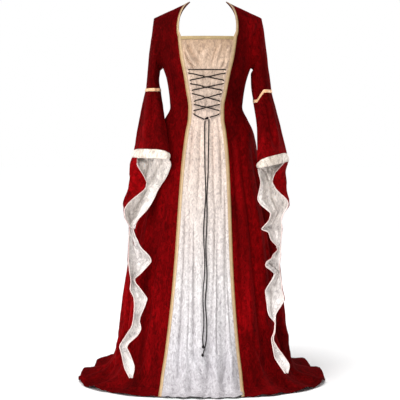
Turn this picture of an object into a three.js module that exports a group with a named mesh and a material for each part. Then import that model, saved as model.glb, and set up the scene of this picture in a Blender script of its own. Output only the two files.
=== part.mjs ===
import * as THREE from "three";

// A long medieval gown, filled out as when it is worn, with nobody in it.
// Millimetres. The wearer's left is +X, the front faces -Y, and Z is up.
// The origin lies midway between the two points where the shoulders meet the neck.

// Cloth and trim
const velvetWall = 1.6;
const liningWall = 1.2;
const braidWall = 1.2;
const seamGap = 0.2;
const bandGap = 0.5;
const armholeGap = 1;
const layGap = 0.3;

// Height and pose
const floorDrop = 1450;
const hemLean = 24;
const backNeckEase = 10;

// Braid, bands and lacing
const braidHalfWidth = 6.5;
const neckBraidWidth = 11;
const cordRadius = 2;
const cordSides = 8;
const loopHeight = 8;
const knotRadius = 4;
const knotReach = 8.5;

// A short table becomes a list of rows with named columns.
function table(names, rows) {
  const columns = names.split(" ");
  return rows.map((row) => Object.fromEntries(columns.map((name, i) => [name, row[i]])));
}

function mix(a, b, t) {
  return a + (b - a) * t;
}

function clamp(value, low, high) {
  return Math.min(high, Math.max(low, value));
}

function smoothstep(t) {
  const s = clamp(t, 0, 1);
  return s * s * (3 - 2 * s);
}

// Rings of the body and skirt, from the shoulder seam down to the edge of the train.
// front, side, back: heights. seam: half width of the ivory panel, or of the neckline.
// edge: half width to the armhole or side seam. width, fore, aft: half sizes of the form.
// cap: how far the shoulder has rounded out. square: bend of the ring, 2 is an ellipse.
// lift: how far the cloth has turned from hanging to lying on the floor.
const gownRings = table("front side back seam edge width fore aft cap square lift", [
  [0, -62, 0, 68, 203, 212, 95, 82, 0, 2.5, 0],
  [-12, -72, -12, 79, 199, 209.5, 95, 83, 0.42, 2.5, 0],
  [-32, -93, -32, 92, 190, 204, 96, 85, 0.68, 2.5, 0],
  [-62, -124, -62, 102, 180, 198, 97, 87, 0.87, 2.5, 0],
  [-98, -158, -98, 106, 173, 190, 100, 90, 0.97, 2.5, 0],
  [-136, -188, -136, 104, 169.5, 183, 105, 93, 1, 2.5, 0],
  [-148, -212, -148, 103, 167.5, 177, 108, 94, 1, 2.5, 0],
  [-185, -236, -185, 98, 166.5, 170.5, 117, 97, 1, 2.5, 0],
  [-225, -247, -225, 91, 166, 166, 126, 98, 1, 2.5, 0],
  [-280, -290, -280, 79, 151, 151, 120, 93, 1, 2.5, 0],
  [-340, -343, -340, 69, 141, 141, 103, 83, 1, 2.5, 0],
  [-398, -398, -398, 60, 136, 136, 91, 76, 1, 2.5, 0],
  [-445, -445, -445, 61, 157, 157, 95, 88, 1, 2.4, 0],
  [-500, -500, -500, 70, 182, 182, 108, 110, 1, 2.3, 0],
  [-590, -590, -590, 80, 199, 199, 134, 140, 1, 2.2, 0],
  [-715, -715, -715, 88, 225, 225, 165, 180, 1, 2.1, 0],
  [-860, -860, -860, 95, 264, 264, 198, 228, 1, 2, 0],
  [-1010, -1010, -1010, 103, 285, 285, 227, 276, 1, 2, 0],
  [-1160, -1160, -1160, 115, 298, 298, 250, 318, 1, 2, 0],
  [-1285, -1280, -1265, 128, 310, 310, 266, 355, 1, 2, 0.1],
  [-1372, -1365, -1345, 140, 326, 326, 275, 402, 1, 2, 0.3],
  [-1418, -1417, -1402, 145, 366, 366, 286, 470, 1, 2, 0.7],
  [-1436, -1439, -1435, 148, 424, 424, 300, 545, 1, 2, 1],
  [-1446, -1448, -1448, 149, 475, 475, 318, 605, 1, 2, 1],
]);
const neckRow = 5;
const neckBraidRow = 6;
const armpitRow = 8;
const waistRow = 11;
const floorRow = gownRings.length - 1;

// Folds round the skirt. Places count round each side from 0 at the centre front:
// 1 is the seam of the ivory panel, 2 the side, 3 the back neckline, 4 the centre back.
// depth is at the floor, and start is the height where the fold begins.
const folds = table("place depth start", [
  [-3.55, 26, -520],
  [-2.95, 30, -470],
  [-2.68, 24, -600],
  [-2.42, 30, -480],
  [-2.16, 22, -560],
  [-1.83, 24, -520],
  [-1.52, 20, -620],
  [-1.22, 16, -560],
  [-0.8, 10, -640],
  [-0.42, 13, -560],
  [-0.03, 9, -700],
  [0.38, 13, -580],
  [0.78, 11, -660],
  [1.2, 17, -540],
  [1.5, 19, -640],
  [1.8, 24, -500],
  [2.14, 22, -580],
  [2.4, 28, -470],
  [2.66, 26, -620],
  [2.93, 30, -480],
  [3.5, 24, -560],
]);
const foldShare = [0, 0.34, 0.66];
const centreBack = 4;

// Height of the fold that runs over a place, at a height of the skirt.
function foldHeight(place, z) {
  const round = 2 * centreBack;
  let next = folds.findIndex((fold) => fold.place > place);
  if (next < 0) next = folds.length;
  const before = folds[(next + folds.length - 1) % folds.length];
  const after = folds[next % folds.length];
  const span = (after.place - before.place + round) % round;
  const share = ((place - before.place + round) % round) / span;
  const grown = (fold) => fold.depth * smoothstep((fold.start - z) / (floorDrop + fold.start));
  return mix(grown(before), grown(after), share) * (0.5 + 0.5 * Math.cos(2 * Math.PI * share));
}

function ringAngle(halfWidth, ring) {
  return Math.asin(Math.min(1, (halfWidth / ring.width) ** (ring.square / 2)));
}

// Point of the gown's surface on a ring, at a signed place round it.
// behind says that place 2 is meant on the back's side of the armhole.
function gownPoint(row, place, behind = false) {
  const ring = gownRings[row];
  const side = place < 0 ? -1 : 1;
  const far = Math.abs(place);
  const backNeck = ring.seam + backNeckEase * ring.cap;
  const seam = ringAngle(ring.seam, ring);
  const edge = ringAngle(ring.edge, ring);
  const backSeam = Math.PI - ringAngle(backNeck, ring);
  let angle;
  if (far <= 1) angle = far * seam;
  else if (far < 2 || (far === 2 && !behind)) angle = mix(seam, edge, far - 1);
  else if (far <= 3) angle = mix(Math.PI - edge, backSeam, far - 2);
  else angle = mix(backSeam, Math.PI, far - 3);
  const bend = 2 / ring.square;
  const across = Math.abs(Math.sin(angle)) ** bend;
  const along = Math.sign(Math.cos(angle)) * Math.abs(Math.cos(angle)) ** bend;
  const depth = along > 0 ? ring.fore : ring.aft;
  const [middle, neck] = along > 0 ? [ring.front, ring.seam] : [ring.back, backNeck];
  const z = mix(middle, ring.side, clamp((ring.width * across - neck) / (ring.edge - neck), 0, 1));
  const height = foldHeight(place, z);
  const rise = along > 0 ? ring.lift * (1 - along * along) : ring.lift;
  const out = height * (1 - rise);
  return new THREE.Vector3(
    side * (ring.width * across + out * Math.sin(angle)) + (hemLean * z) / floorDrop,
    -along * depth * ring.cap - out * Math.cos(angle),
    z + height * rise,
  );
}

// Columns of the body, in order round the gown. A braid column keeps a set distance
// from the seam, so its place is worked out again on every ring.
const quietBySeam = 0.13;
const quietBySide = 0.05;

function foldColumns(low, high) {
  const places = folds.flatMap((fold, i) => {
    const after = folds[(i + 1) % folds.length];
    const span = after.place - fold.place + (i + 1 === folds.length ? 2 * centreBack : 0);
    return foldShare.map((share) => fold.place + share * span);
  });
  const wrapped = places.map((place) => (place > centreBack ? place - 2 * centreBack : place));
  return wrapped
    .filter((place) => place > low && place < high)
    .sort((a, b) => a - b)
    .map((place) => ({ place, away: 0, behind: Math.abs(place) > 2 }));
}

function seamColumn(place, away = 0, behind = false) {
  return { place, away, behind };
}

const columnSets = {
  centre: [
    seamColumn(-1),
    seamColumn(-1, 1),
    ...foldColumns(-1 + quietBySeam, 1 - quietBySeam),
    seamColumn(1, -1),
    seamColumn(1),
  ],
  sideLeft: [
    seamColumn(1),
    seamColumn(1, 1),
    ...foldColumns(1 + quietBySeam, 2 - quietBySide),
    seamColumn(2),
  ],
  sideRight: [
    seamColumn(-2),
    ...foldColumns(-2 + quietBySide, -1 - quietBySeam),
    seamColumn(-1, -1),
    seamColumn(-1),
  ],
  sideBackLeft: [
    seamColumn(2, 0, true),
    ...foldColumns(2 + quietBySide, 3 - quietBySide),
    seamColumn(3, 0, true),
  ],
  backLeft: [
    seamColumn(3, 0, true),
    ...foldColumns(3 + quietBySide, centreBack - quietBySide),
    seamColumn(centreBack, 0, true),
  ],
  backRight: [
    seamColumn(-centreBack, 0, true),
    ...foldColumns(-centreBack + quietBySide, -3 - quietBySide),
    seamColumn(-3, 0, true),
  ],
  sideBackRight: [
    seamColumn(-3, 0, true),
    ...foldColumns(-3 + quietBySide, -2 - quietBySide),
    seamColumn(-2, 0, true),
  ],
};

// Place of a braid's edge on a ring, a set distance from the seam along the cloth.
function braidPlace(row, column) {
  const step = 0.02;
  const outward = column.away === Math.sign(column.place);
  const distance = outward && row < neckRow ? neckBraidWidth : braidHalfWidth;
  const start = gownPoint(row, column.place);
  const near = gownPoint(row, column.place + column.away * step);
  return column.place + (column.away * step * distance) / start.distanceTo(near);
}

function columnPoint(row, column) {
  const place = column.away ? braidPlace(row, column) : column.place;
  return gownPoint(row, place, column.behind);
}

// A grid holds rows of points, and null where there is no cloth.
function gownGrid(columns, firstRow) {
  return gownRings.map((ring, row) =>
    columns.map((column) => (row < firstRow ? null : columnPoint(row, column))),
  );
}

const grids = {
  centre: gownGrid(columnSets.centre, neckRow),
  sideLeft: gownGrid(columnSets.sideLeft, 0),
  sideRight: gownGrid(columnSets.sideRight, 0),
  sideBackLeft: gownGrid(columnSets.sideBackLeft, 0),
  backLeft: gownGrid(columnSets.backLeft, neckRow),
  backRight: gownGrid(columnSets.backRight, neckRow),
  sideBackRight: gownGrid(columnSets.sideBackRight, 0),
};

// Rings of the sleeves below the armhole, as far as the edge of the wrist.
// high, low: heights of the ring's outer and inner points. outer, inner: their distance
// from the gown's middle. y: its centre. slant: how far the inner point comes forward
// and the outer one goes back. depth: half its depth. dip: 0 where the ring falls evenly
// from outside to inside, and 1 where it stays level and then falls in one short curve.
const sleeveColumns = "high low outer inner y slant depth dip";
const sleeveRings = {
  right: table(sleeveColumns, [
    [-118, -258, 212, 182, 0, 0, 50, 0],
    [-190, -273, 221, 185, -2, 0, 46, 0],
    [-262, -295, 229, 187, -5, 0, 43, 0],
    [-327, -327, 235, 184, -10, 4, 41, 0],
    [-333, -333, 236, 183, -11, 4, 41, 0],
    [-339, -339, 238, 181, -12, 5, 42, 0],
    [-410, -410, 253, 168, -36, 18, 52, 0],
    [-480, -480, 265, 157, -69, 36, 54, 0],
    [-556, -556, 277, 145, -107, 54, 52, 0],
    [-588, -589, 284, 142, -122, 59, 52, 0],
  ]),
  left: table(sleeveColumns, [
    [-118, -258, 212, 173, 0, 0, 50, 0],
    [-190, -274, 222, 164, -2, 0, 46, 0],
    [-262, -312, 231, 165, -5, 0, 43, 0.6],
    [-332, -370, 240, 173, -12, 4, 41, 1],
    [-338, -376, 241, 174, -13, 4, 41, 1],
    [-344, -382, 242, 174, -14, 5, 42, 1],
    [-412, -440, 260, 182, -36, 16, 50, 0.5],
    [-484, -508, 276, 184, -68, 32, 53, 0],
    [-568, -592, 294, 184, -105, 48, 51, 0],
    [-602, -624, 301, 184, -120, 54, 52, 0],
  ]),
};
const dipStart = 0.42;
const dipEnd = 0.86;
const bandTop = 4;
const bandSeam = 5;
const bandFoot = 6;
const cuffRow = 9;
const wristRow = 10;

// Hanging part of each sleeve, below the wrist: the inner free edge, the outer side and
// the outer free edge, as distances from the gown's middle. Where the outer free edge
// lies inside the outer side, the cloth turns forward and shows its red face.
const drapeColumns = "z inner outer free";
const drapeRows = {
  right: table(drapeColumns, [
    [-612, 137, 289, 263],
    [-652, 151, 294, 240],
    [-684, 172, 299, 228],
    [-708, 187, 303, 239],
    [-732, 197, 306, 270],
    [-758, 211, 309, 297],
    [-782, 228, 309, 309],
    [-806, 250, 306, 306],
    [-842, 281, 292, 292],
    [-880, 268, 291, 291],
    [-914, 250, 290, 290],
    [-960, 207, 290, 290],
    [-1000, 240, 286, 286],
    [-1036, 273, 283, 283],
    [-1066, 246, 284, 284],
    [-1100, 223, 270, 270],
    [-1130, 232, 269, 269],
    [-1178, 253, 273, 273],
    [-1206, 245, 280, 280],
    [-1232, 256, 297, 297],
    [-1272, 297, 321, 321],
    [-1310, 281, 313, 313],
    [-1350, 268, 304, 304],
    [-1386, 276, 285, 285],
  ]),
  left: table(drapeColumns, [
    [-640, 188, 290, 250],
    [-675, 195, 293, 238],
    [-709, 188, 296, 256],
    [-741, 181, 299, 292],
    [-763, 198, 298, 297],
    [-792, 230, 280, 278],
    [-820, 218, 269, 269],
    [-848, 197, 271, 271],
    [-860, 221, 271, 271],
    [-890, 232, 267, 267],
    [-921, 258, 268, 268],
    [-945, 236, 267, 267],
    [-977, 208, 261, 261],
    [-1014, 251, 265, 265],
    [-1049, 224, 269, 269],
    [-1074, 211, 272, 272],
    [-1104, 213, 279, 279],
    [-1130, 217, 264, 264],
    [-1160, 224, 248, 248],
    [-1190, 244, 249, 248],
    [-1222, 242, 247, 246],
    [-1250, 233, 238, 238],
    [-1284, 238, 258, 258],
    [-1316, 245, 281, 281],
    [-1343, 262, 297, 297],
    [-1369, 281, 290, 290],
  ]),
};

// The hanging part's back stays clear of the skirt in front of which it hangs.
const drapeBack = table("z y", [
  [-600, -76],
  [-690, -82],
  [-760, -98],
  [-850, -126],
  [-950, -156],
  [-1050, -178],
  [-1160, -196],
  [-1264, -216],
  [-1330, -236],
  [-1400, -252],
]);
const drapeGirthTop = 300;
const drapeGirthFoot = 34;
const drapeDepthMin = 9;
const drapeDepthMax = 66;
const drapeDepthSpare = 8;

const ringColumns = 2 * armpitRow;
const drapeFirst = armpitRow;
const drapeLast = ringColumns + 2;
const drapeBackShare = 0.4;
const drapeOuterShare = 0.74;
const drapeOuterDepth = 0.35;

function lookUp(rows, z, name) {
  const next = clamp(rows.findIndex((row) => row.z <= z), 1, rows.length - 1);
  const above = rows[next - 1];
  const below = rows[next];
  return mix(above[name], below[name], clamp((z - above.z) / (below.z - above.z), 0, 1));
}

// Depth of the hanging cloth's curve: what its cut width leaves over when it hangs.
// Where the cloth is drawn together, its curve is shallow as well.
function drapeDepth(row, last) {
  const top = -600;
  const girth = mix(drapeGirthTop, drapeGirthFoot, (row.z - top) / (last.z - top));
  const span = row.outer - row.inner + (row.outer - row.free);
  return clamp(Math.min((girth - span) / 2, span + drapeDepthSpare), drapeDepthMin, drapeDepthMax);
}

function catmull(a, b, c, d, t) {
  const bend = 2 * a - 5 * b + 4 * c - d + (3 * b - a - 3 * c + d) * t;
  return b + 0.5 * t * (c - a + bend * t);
}

// Point of the hanging cloth, from its inner free edge at 0 to its outer one at 1.
function drapePoint(row, last, share) {
  const depth = drapeDepth(row, last);
  const back = lookUp(drapeBack, row.z, "y");
  const knots = table("share x y", [
    [0, row.inner, back - depth],
    [drapeBackShare, mix(row.inner, row.outer, 0.5), back],
    [drapeOuterShare, row.outer, back - drapeOuterDepth * depth],
    [1, row.free, back - depth],
  ]);
  const step = share < drapeBackShare ? 0 : share < drapeOuterShare ? 1 : 2;
  const t = (share - knots[step].share) / (knots[step + 1].share - knots[step].share);
  const near = [step - 1, step, step + 1, step + 2].map((i) => knots[clamp(i, 0, 3)]);
  const [x, y] = ["x", "y"].map((axis) => catmull(...near.map((knot) => knot[axis]), t));
  return new THREE.Vector3(x, y, row.z);
}

function armholePoint(side, column) {
  const behind = column > armpitRow;
  return gownPoint(behind ? ringColumns - column : column, 2 * side, behind);
}

function sleeveRingPoint(side, ring, column) {
  const angle = (2 * Math.PI * column) / ringColumns;
  const middle = (ring.outer + ring.inner) / 2;
  const half = (ring.outer - ring.inner) / 2;
  const inward = (1 - Math.cos(angle)) / 2;
  const fallen = mix(inward, smoothstep((inward - dipStart) / (dipEnd - dipStart)), ring.dip);
  return new THREE.Vector3(
    side * (middle + half * Math.cos(angle)),
    ring.y + ring.slant * Math.cos(angle) - ring.depth * Math.sin(angle),
    mix(ring.high, ring.low, fallen),
  );
}

// Whole sleeve as one grid: the armhole, the rings to the wrist, then the hanging rows.
// Columns run from the outer point over the front, the inner side and the back.
function sleeveGrid(name, side) {
  const hanging = drapeRows[name];
  const last = hanging[hanging.length - 1];
  const count = Array.from({ length: ringColumns }, (_, i) => i);
  const order = side < 0 ? count : count.map((i) => (ringColumns - i) % ringColumns);
  const rings = sleeveRings[name].map((ring) =>
    order.map((column) => sleeveRingPoint(side, ring, column)),
  );
  const drape = hanging.map((row) =>
    order.map((column) => {
      const turn = column < drapeLast - ringColumns + 1 ? column + ringColumns : column;
      if (turn < drapeFirst) return null;
      const share = (turn - drapeFirst) / (drapeLast - drapeFirst);
      const point = drapePoint(row, last, share);
      point.x *= side;
      return point;
    }),
  );
  return [order.map((column) => armholePoint(side, column)), ...rings, ...drape];
}

const sleeves = { right: sleeveGrid("right", -1), left: sleeveGrid("left", 1) };

// Faces of a grid, as the row and column of their four corners.
function gridFaces(grid, wrap) {
  const faces = [];
  const width = grid[0].length;
  for (let r = 0; r + 1 < grid.length; r += 1) {
    for (let c = 0; c < (wrap ? width : width - 1); c += 1) {
      const next = (c + 1) % width;
      const corners = [[r, c], [r + 1, c], [r + 1, next], [r, next]];
      if (corners.every(([i, j]) => grid[i][j])) faces.push(corners);
    }
  }
  return faces;
}

// Outward directions, shared by every piece that has a point at the same place.
const directions = new Map();

function placeKey(point) {
  return point.toArray().map((value) => value.toFixed(2)).join(" ");
}

function gatherDirections(grid, wrap) {
  gridFaces(grid, wrap).forEach((corners) => {
    const [a, b, c, d] = corners.map(([i, j]) => grid[i][j]);
    const across = new THREE.Vector3().subVectors(d, b);
    const down = new THREE.Vector3().subVectors(c, a);
    const face = new THREE.Vector3().crossVectors(down, across).normalize();
    [a, b, c, d].forEach((point) => {
      const key = placeKey(point);
      if (!directions.has(key)) directions.set(key, new THREE.Vector3());
      directions.get(key).add(face);
    });
  });
}

Object.values(grids).forEach((grid) => gatherDirections(grid, false));
Object.values(sleeves).forEach((grid) => gatherDirections(grid, true));

// The front and the back meet along the shoulder, so neither leans past the seam there.
["sideLeft", "sideRight", "sideBackLeft", "sideBackRight"].forEach((name) => {
  grids[name][0].forEach((point) => directions.get(placeKey(point)).setY(0));
});

function withDirections(grid) {
  return grid.map((row) =>
    row.map((point) => {
      if (!point) return null;
      return { at: point.clone(), out: directions.get(placeKey(point)).clone().normalize() };
    }),
  );
}

// Draws a piece's border in from its seams. sides names the borders to draw in.
function drawIn(grid, sides, distance) {
  const moved = grid.map((row) => row.map((cell) => cell && { ...cell, at: cell.at.clone() }));
  const shift = (cell, toward, target) => {
    if (!cell || !toward) return;
    target.at.add(toward.at.clone().sub(cell.at).setLength(distance));
  };
  grid.forEach((row, r) => {
    const last = row.length - 1;
    if (sides.includes("first")) shift(row[0], row[1], moved[r][0]);
    if (sides.includes("last")) shift(row[last], row[last - 1], moved[r][last]);
  });
  const end = grid.length - 1;
  grid[0].forEach((cell, c) => {
    if (sides.includes("top")) shift(grid[0][c], grid[1][c], moved[0][c]);
    if (sides.includes("bottom")) shift(grid[end][c], grid[end - 1][c], moved[end][c]);
  });
  return moved;
}

// Closed wall over a grid, from one distance outside the surface to another.
function wall(grid, near, far, wrap = false) {
  const positions = [];
  const triangles = [];
  const numbers = new Map();
  const vertex = (corner, distance) => {
    const key = `${corner.join(" ")} ${distance}`;
    if (!numbers.has(key)) {
      const cell = grid[corner[0]][corner[1]];
      numbers.set(key, positions.length / 3);
      positions.push(...cell.at.clone().addScaledVector(cell.out, distance).toArray());
    }
    return numbers.get(key);
  };
  const faces = gridFaces(grid, wrap);
  const edges = new Set();
  faces.forEach((corners) => {
    corners.forEach((corner, i) => edges.add(`${corner.join(" ")}>${corners[(i + 1) % 4].join(" ")}`));
    const [a, b, c, d] = corners.map((corner) => vertex(corner, far));
    triangles.push(a, b, d, d, b, c);
    const [e, f, g, h] = corners.map((corner) => vertex(corner, near));
    triangles.push(e, h, f, h, g, f);
  });
  faces.forEach((corners) => {
    corners.forEach((corner, i) => {
      const next = corners[(i + 1) % 4];
      if (edges.has(`${next.join(" ")}>${corner.join(" ")}`)) return;
      const [a, b] = [vertex(next, far), vertex(corner, far)];
      const [c, d] = [vertex(corner, near), vertex(next, near)];
      triangles.push(a, b, c, a, c, d);
    });
  });
  const geometry = new THREE.BufferGeometry();
  geometry.setAttribute("position", new THREE.Float32BufferAttribute(positions, 3));
  geometry.setIndex(triangles);
  geometry.computeVertexNormals();
  return geometry;
}

function cloth(color, roughness) {
  return new THREE.MeshStandardMaterial({ color, roughness, metalness: 0, side: THREE.DoubleSide });
}

const redVelvet = cloth("#7a0a12", 0.75);
const ivoryVelvet = cloth("#dccdbf", 0.6);
const goldBraid = cloth("#be9a66", 0.5);
const darkCord = cloth("#1c1416", 0.8);

const gown = new THREE.Group();

function addPiece(name, geometry, material) {
  const mesh = new THREE.Mesh(geometry, material);
  mesh.name = name;
  gown.add(mesh);
  return mesh;
}

// Panels of the body and skirt. The side panels are parted at the waist.
const panels = {};
Object.keys(grids).forEach((name) => {
  panels[name] = withDirections(grids[name]);
});
const upright = ["first", "last"];
const panelNodes = table("node grid firstRow lastRow sides material", [
  ["front_centre_panel", "centre", neckRow, floorRow, upright, ivoryVelvet],
  ["bodice_side_front_left", "sideLeft", 0, waistRow, [...upright, "top", "bottom"], redVelvet],
  ["bodice_side_front_right", "sideRight", 0, waistRow, [...upright, "top", "bottom"], redVelvet],
  ["bodice_side_back_left", "sideBackLeft", 0, waistRow, [...upright, "top", "bottom"], redVelvet],
  ["bodice_side_back_right", "sideBackRight", 0, waistRow, [...upright, "top", "bottom"], redVelvet],
  ["skirt_side_front_left", "sideLeft", waistRow, floorRow, [...upright, "top"], redVelvet],
  ["skirt_side_front_right", "sideRight", waistRow, floorRow, [...upright, "top"], redVelvet],
  ["skirt_side_back_left", "sideBackLeft", waistRow, floorRow, [...upright, "top"], redVelvet],
  ["skirt_side_back_right", "sideBackRight", waistRow, floorRow, [...upright, "top"], redVelvet],
  ["back_left", "backLeft", neckRow, floorRow, upright, redVelvet],
  ["back_right", "backRight", neckRow, floorRow, upright, redVelvet],
]);
panelNodes.forEach(({ node, grid, firstRow, lastRow, sides, material }) => {
  const rows = panels[grid].slice(firstRow, lastRow + 1);
  addPiece(node, wall(drawIn(rows, sides, seamGap), 0, velvetWall), material);
});

// Braid on the princess seams, from the neck point to the hem. It lies on the seam
// below the neckline, and along the cloth's edge beside the neck opening.
const braidNear = velvetWall + layGap;
const braidFar = braidNear + braidWall;

function princessBraid(side, centreColumn, seamOnSide, outerOnSide) {
  const panel = panels[side];
  const centre = panels.centre;
  return panel.map((row, r) => {
    const cells = [row[outerOnSide], row[seamOnSide], centre[r][centreColumn]];
    return seamOnSide === 0 ? cells.reverse() : cells;
  });
}

const centreWidth = columnSets.centre.length;
const sideRightWidth = columnSets.sideRight.length;
const braids = {
  left: princessBraid("sideLeft", centreWidth - 2, 0, 1),
  right: princessBraid("sideRight", 1, sideRightWidth - 1, sideRightWidth - 2),
};
Object.entries(braids).forEach(([name, grid]) => {
  const drawn = drawIn(grid, ["top"], seamGap);
  addPiece(`princess_trim_${name}`, wall(drawn, braidNear, braidFar), goldBraid);
});

const neckBraid = panels.centre
  .slice(neckRow, neckBraidRow + 1)
  .map((row) => row.slice(1, centreWidth - 1));
const neckBraidDrawn = drawIn(neckBraid, ["first", "last"], layGap);
addPiece("neckline_trim_front", wall(neckBraidDrawn, braidNear, braidFar), goldBraid);

// Sleeves: the upper sleeve, the band over its seam, the two halves of the lower sleeve,
// the part that hangs from the wrist, the lining and the cuff turned back over the wrist.
const cuffGap = velvetWall + layGap;
const cuffFirst = -1;
const cuffLast = armpitRow + 1;

function cuffGrid(grid, side) {
  const columns = [];
  for (let column = cuffFirst; column <= cuffLast; column += 1) {
    columns.push(((side < 0 ? column : -column) + ringColumns) % ringColumns);
  }
  const ordered = side < 0 ? columns : columns.reverse();
  return grid.slice(cuffRow, wristRow + 1).map((row) => ordered.map((column) => row[column]));
}

Object.entries(sleeves).forEach(([name, points]) => {
  const side = name === "left" ? 1 : -1;
  const grid = withDirections(points);
  const upperBottom = drawIn(grid.slice(0, bandSeam + 1), ["bottom"], bandGap);
  const upper = drawIn(upperBottom, ["top"], armholeGap);
  const lower = grid.slice(bandSeam, wristRow + 1);
  const halves = [
    lower.map((row) => row.slice(0, armpitRow + 1)),
    lower.map((row) => [...row.slice(armpitRow), row[0]]),
  ];
  const halfNames = side < 0 ? ["front", "back"] : ["back", "front"];
  const hanging = drawIn(grid.slice(wristRow), ["top"], bandGap);
  const band = grid.slice(bandTop, bandFoot + 1);
  const lining = wall(grid.slice(cuffRow), -layGap - liningWall, -layGap, true);
  addPiece(`upper_sleeve_${name}`, wall(upper, 0, velvetWall, true), redVelvet);
  halves.forEach((half, i) => {
    const drawn = drawIn(drawIn(half, [...upright, "bottom"], seamGap), ["top"], bandGap);
    addPiece(`lower_sleeve_${halfNames[i]}_${name}`, wall(drawn, 0, velvetWall), redVelvet);
  });
  addPiece(`hanging_sleeve_${name}`, wall(hanging, 0, velvetWall, true), redVelvet);
  addPiece(`sleeve_band_${name}`, wall(band, braidNear, braidFar, true), goldBraid);
  addPiece(`sleeve_lining_${name}`, lining, ivoryVelvet);
  addPiece(`cuff_${name}`, wall(cuffGrid(grid, side), cuffGap, cuffGap + liningWall), ivoryVelvet);
});

// Point on the faceted front panel at a distance from the gown's middle and a height,
// with the directions across, out of and up the cloth there.
function frontPlace(x, z) {
  const next = gownRings.findIndex((ring) => ring.front <= z);
  const share = (z - gownRings[next - 1].front) / (gownRings[next].front - gownRings[next - 1].front);
  const pointAt = (place) => gownPoint(next - 1, place).lerp(gownPoint(next, place), share);
  let place = x / gownRings[next].seam;
  for (let round = 0; round < 6; round += 1) {
    place += (x - pointAt(place).x) / gownRings[next].seam;
  }
  const at = pointAt(place);
  const across = pointAt(place + 0.05).sub(pointAt(place - 0.05)).normalize();
  const up = gownPoint(next - 1, place).sub(gownPoint(next, place)).normalize();
  const out = new THREE.Vector3().crossVectors(across, up).normalize();
  return { at, across, out, up };
}

function abovePanel(x, z, distance) {
  const place = frontPlace(x, z);
  return place.at.addScaledVector(place.out, velvetWall + distance);
}

// Lacing: five pairs of loops on the panel's edges. x is where the cord turns.
const lacing = table("z right left", [
  [-267, -71, 63],
  [-305, -64.5, 56],
  [-342, -57.5, 49.5],
  [-382, -50, 41.5],
  [-419, -52, 40.5],
]);
const loopFootIn = 2;
const loopWall = 1;
const cordSlack = 1;
const loopInside = cordRadius + cordSlack;
const loopRise = 2 * cordRadius + 1.6 * cordSlack;

// Distance along the cloth from a loop's middle to the near edge of the braid.
function braidDistance(x, z, side) {
  const column = side > 0 ? centreWidth - 2 : 1;
  const next = gownRings.findIndex((ring) => ring.front <= z);
  const [above, below] = [next - 1, next].map((row) => panels.centre[row][column].at);
  const edge = above.clone().lerp(below, (z - above.z) / (below.z - above.z));
  return edge.distanceTo(frontPlace(x, z).at);
}

// A loop is a small strip that runs from the braid in over the cord.
function loopShape(side, reach) {
  const shape = new THREE.Shape();
  const outer = loopInside + loopWall;
  const outline = table("x y", [
    [-reach, 0],
    [-loopInside, 0],
    [-loopInside, loopRise],
    [loopInside, loopRise],
    [loopInside, 0],
    [outer + loopFootIn, 0],
    [outer + loopFootIn, loopWall],
    [outer, loopWall],
    [outer, loopRise + loopWall],
    [-outer, loopRise + loopWall],
    [-outer, loopWall],
    [-reach, loopWall],
  ]);
  outline.forEach(({ x, y }, i) => shape[i ? "lineTo" : "moveTo"](-side * x, y));
  return shape;
}

function addLoop(name, x, z, side) {
  const place = frontPlace(x, z);
  const options = { depth: loopHeight, steps: 1, bevelEnabled: false };
  const reach = braidDistance(x, z, side) - 3 * layGap;
  const geometry = new THREE.ExtrudeGeometry(loopShape(side, reach), options);
  geometry.translate(0, 0, -loopHeight / 2);
  const mesh = addPiece(name, geometry, ivoryVelvet);
  const up = new THREE.Vector3().crossVectors(place.across, place.out);
  mesh.setRotationFromMatrix(new THREE.Matrix4().makeBasis(place.across, place.out, up));
  mesh.position.copy(place.at).addScaledVector(place.out, velvetWall + layGap);
}

lacing.forEach((row, i) => {
  addLoop(`lacing_loop_left_${i + 1}`, row.left, row.z, 1);
  addLoop(`lacing_loop_right_${i + 1}`, row.right, row.z, -1);
});

// Route of the lacing: from the knot up one side, over the top and down to the knot.
const cordRest = layGap + cordRadius + 0.4;
const cordHump = 2 * cordRadius + 0.6;
const crossingReach = 0.24;
const strandShares = [0.14, 0.3, 0.42, 0.5, 0.58, 0.7, 0.86];
const turnRoom = 2.2;
const knotX = -4;
const knotZ = -441;
const knotTilt = 0.42;
const knotFlatness = 0.7;

function strand(from, to, raised) {
  return strandShares.map((t) => {
    const hump = raised ? cordHump * smoothstep(1 - Math.abs(t - 0.5) / crossingReach) : 0;
    return abovePanel(mix(from.x, to.x, t), mix(from.z, to.z, t), cordRest + hump);
  });
}

function turnAt(side, i, falling) {
  const row = lacing[i];
  const x = side > 0 ? row.left : row.right;
  const reach = loopHeight / 2 + turnRoom;
  const ends = [reach, 0, -reach];
  const heights = falling ? ends : ends.reverse();
  return heights.map((rise) => ({ x, z: row.z + rise }));
}

function lacingRoute() {
  const last = lacing.length - 1;
  const stops = [];
  for (let i = last; i >= 0; i -= 1) {
    stops.push(turnAt((last - i) % 2 ? -1 : 1, i, false));
  }
  for (let i = 0; i <= last; i += 1) {
    stops.push(turnAt((last - i) % 2 ? 1 : -1, i, true));
  }
  const knotSide = { x: knotReach + cordRadius, z: knotReach * Math.tan(knotTilt) };
  const points = [abovePanel(knotX + knotSide.x, knotZ + knotSide.z, cordRest)];
  stops.forEach((turn, i) => {
    if (i) {
      const from = stops[i - 1][2];
      const level = i === last + 1;
      points.push(...strand(from, turn[0], i <= last && !level));
    }
    points.push(...turn.map(({ x, z }) => abovePanel(x, z, cordRest)));
  });
  points.push(abovePanel(knotX - knotSide.x, knotZ - knotSide.z, cordRest));
  return points;
}

// A curve whose steps fall on its points, so that a short turn between long runs is kept.
class StepCurve extends THREE.CatmullRomCurve3 {
  getPointAt(share, target) {
    return this.getPoint(share, target);
  }

  getTangentAt(share, target) {
    return this.getTangent(share, target);
  }
}

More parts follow.
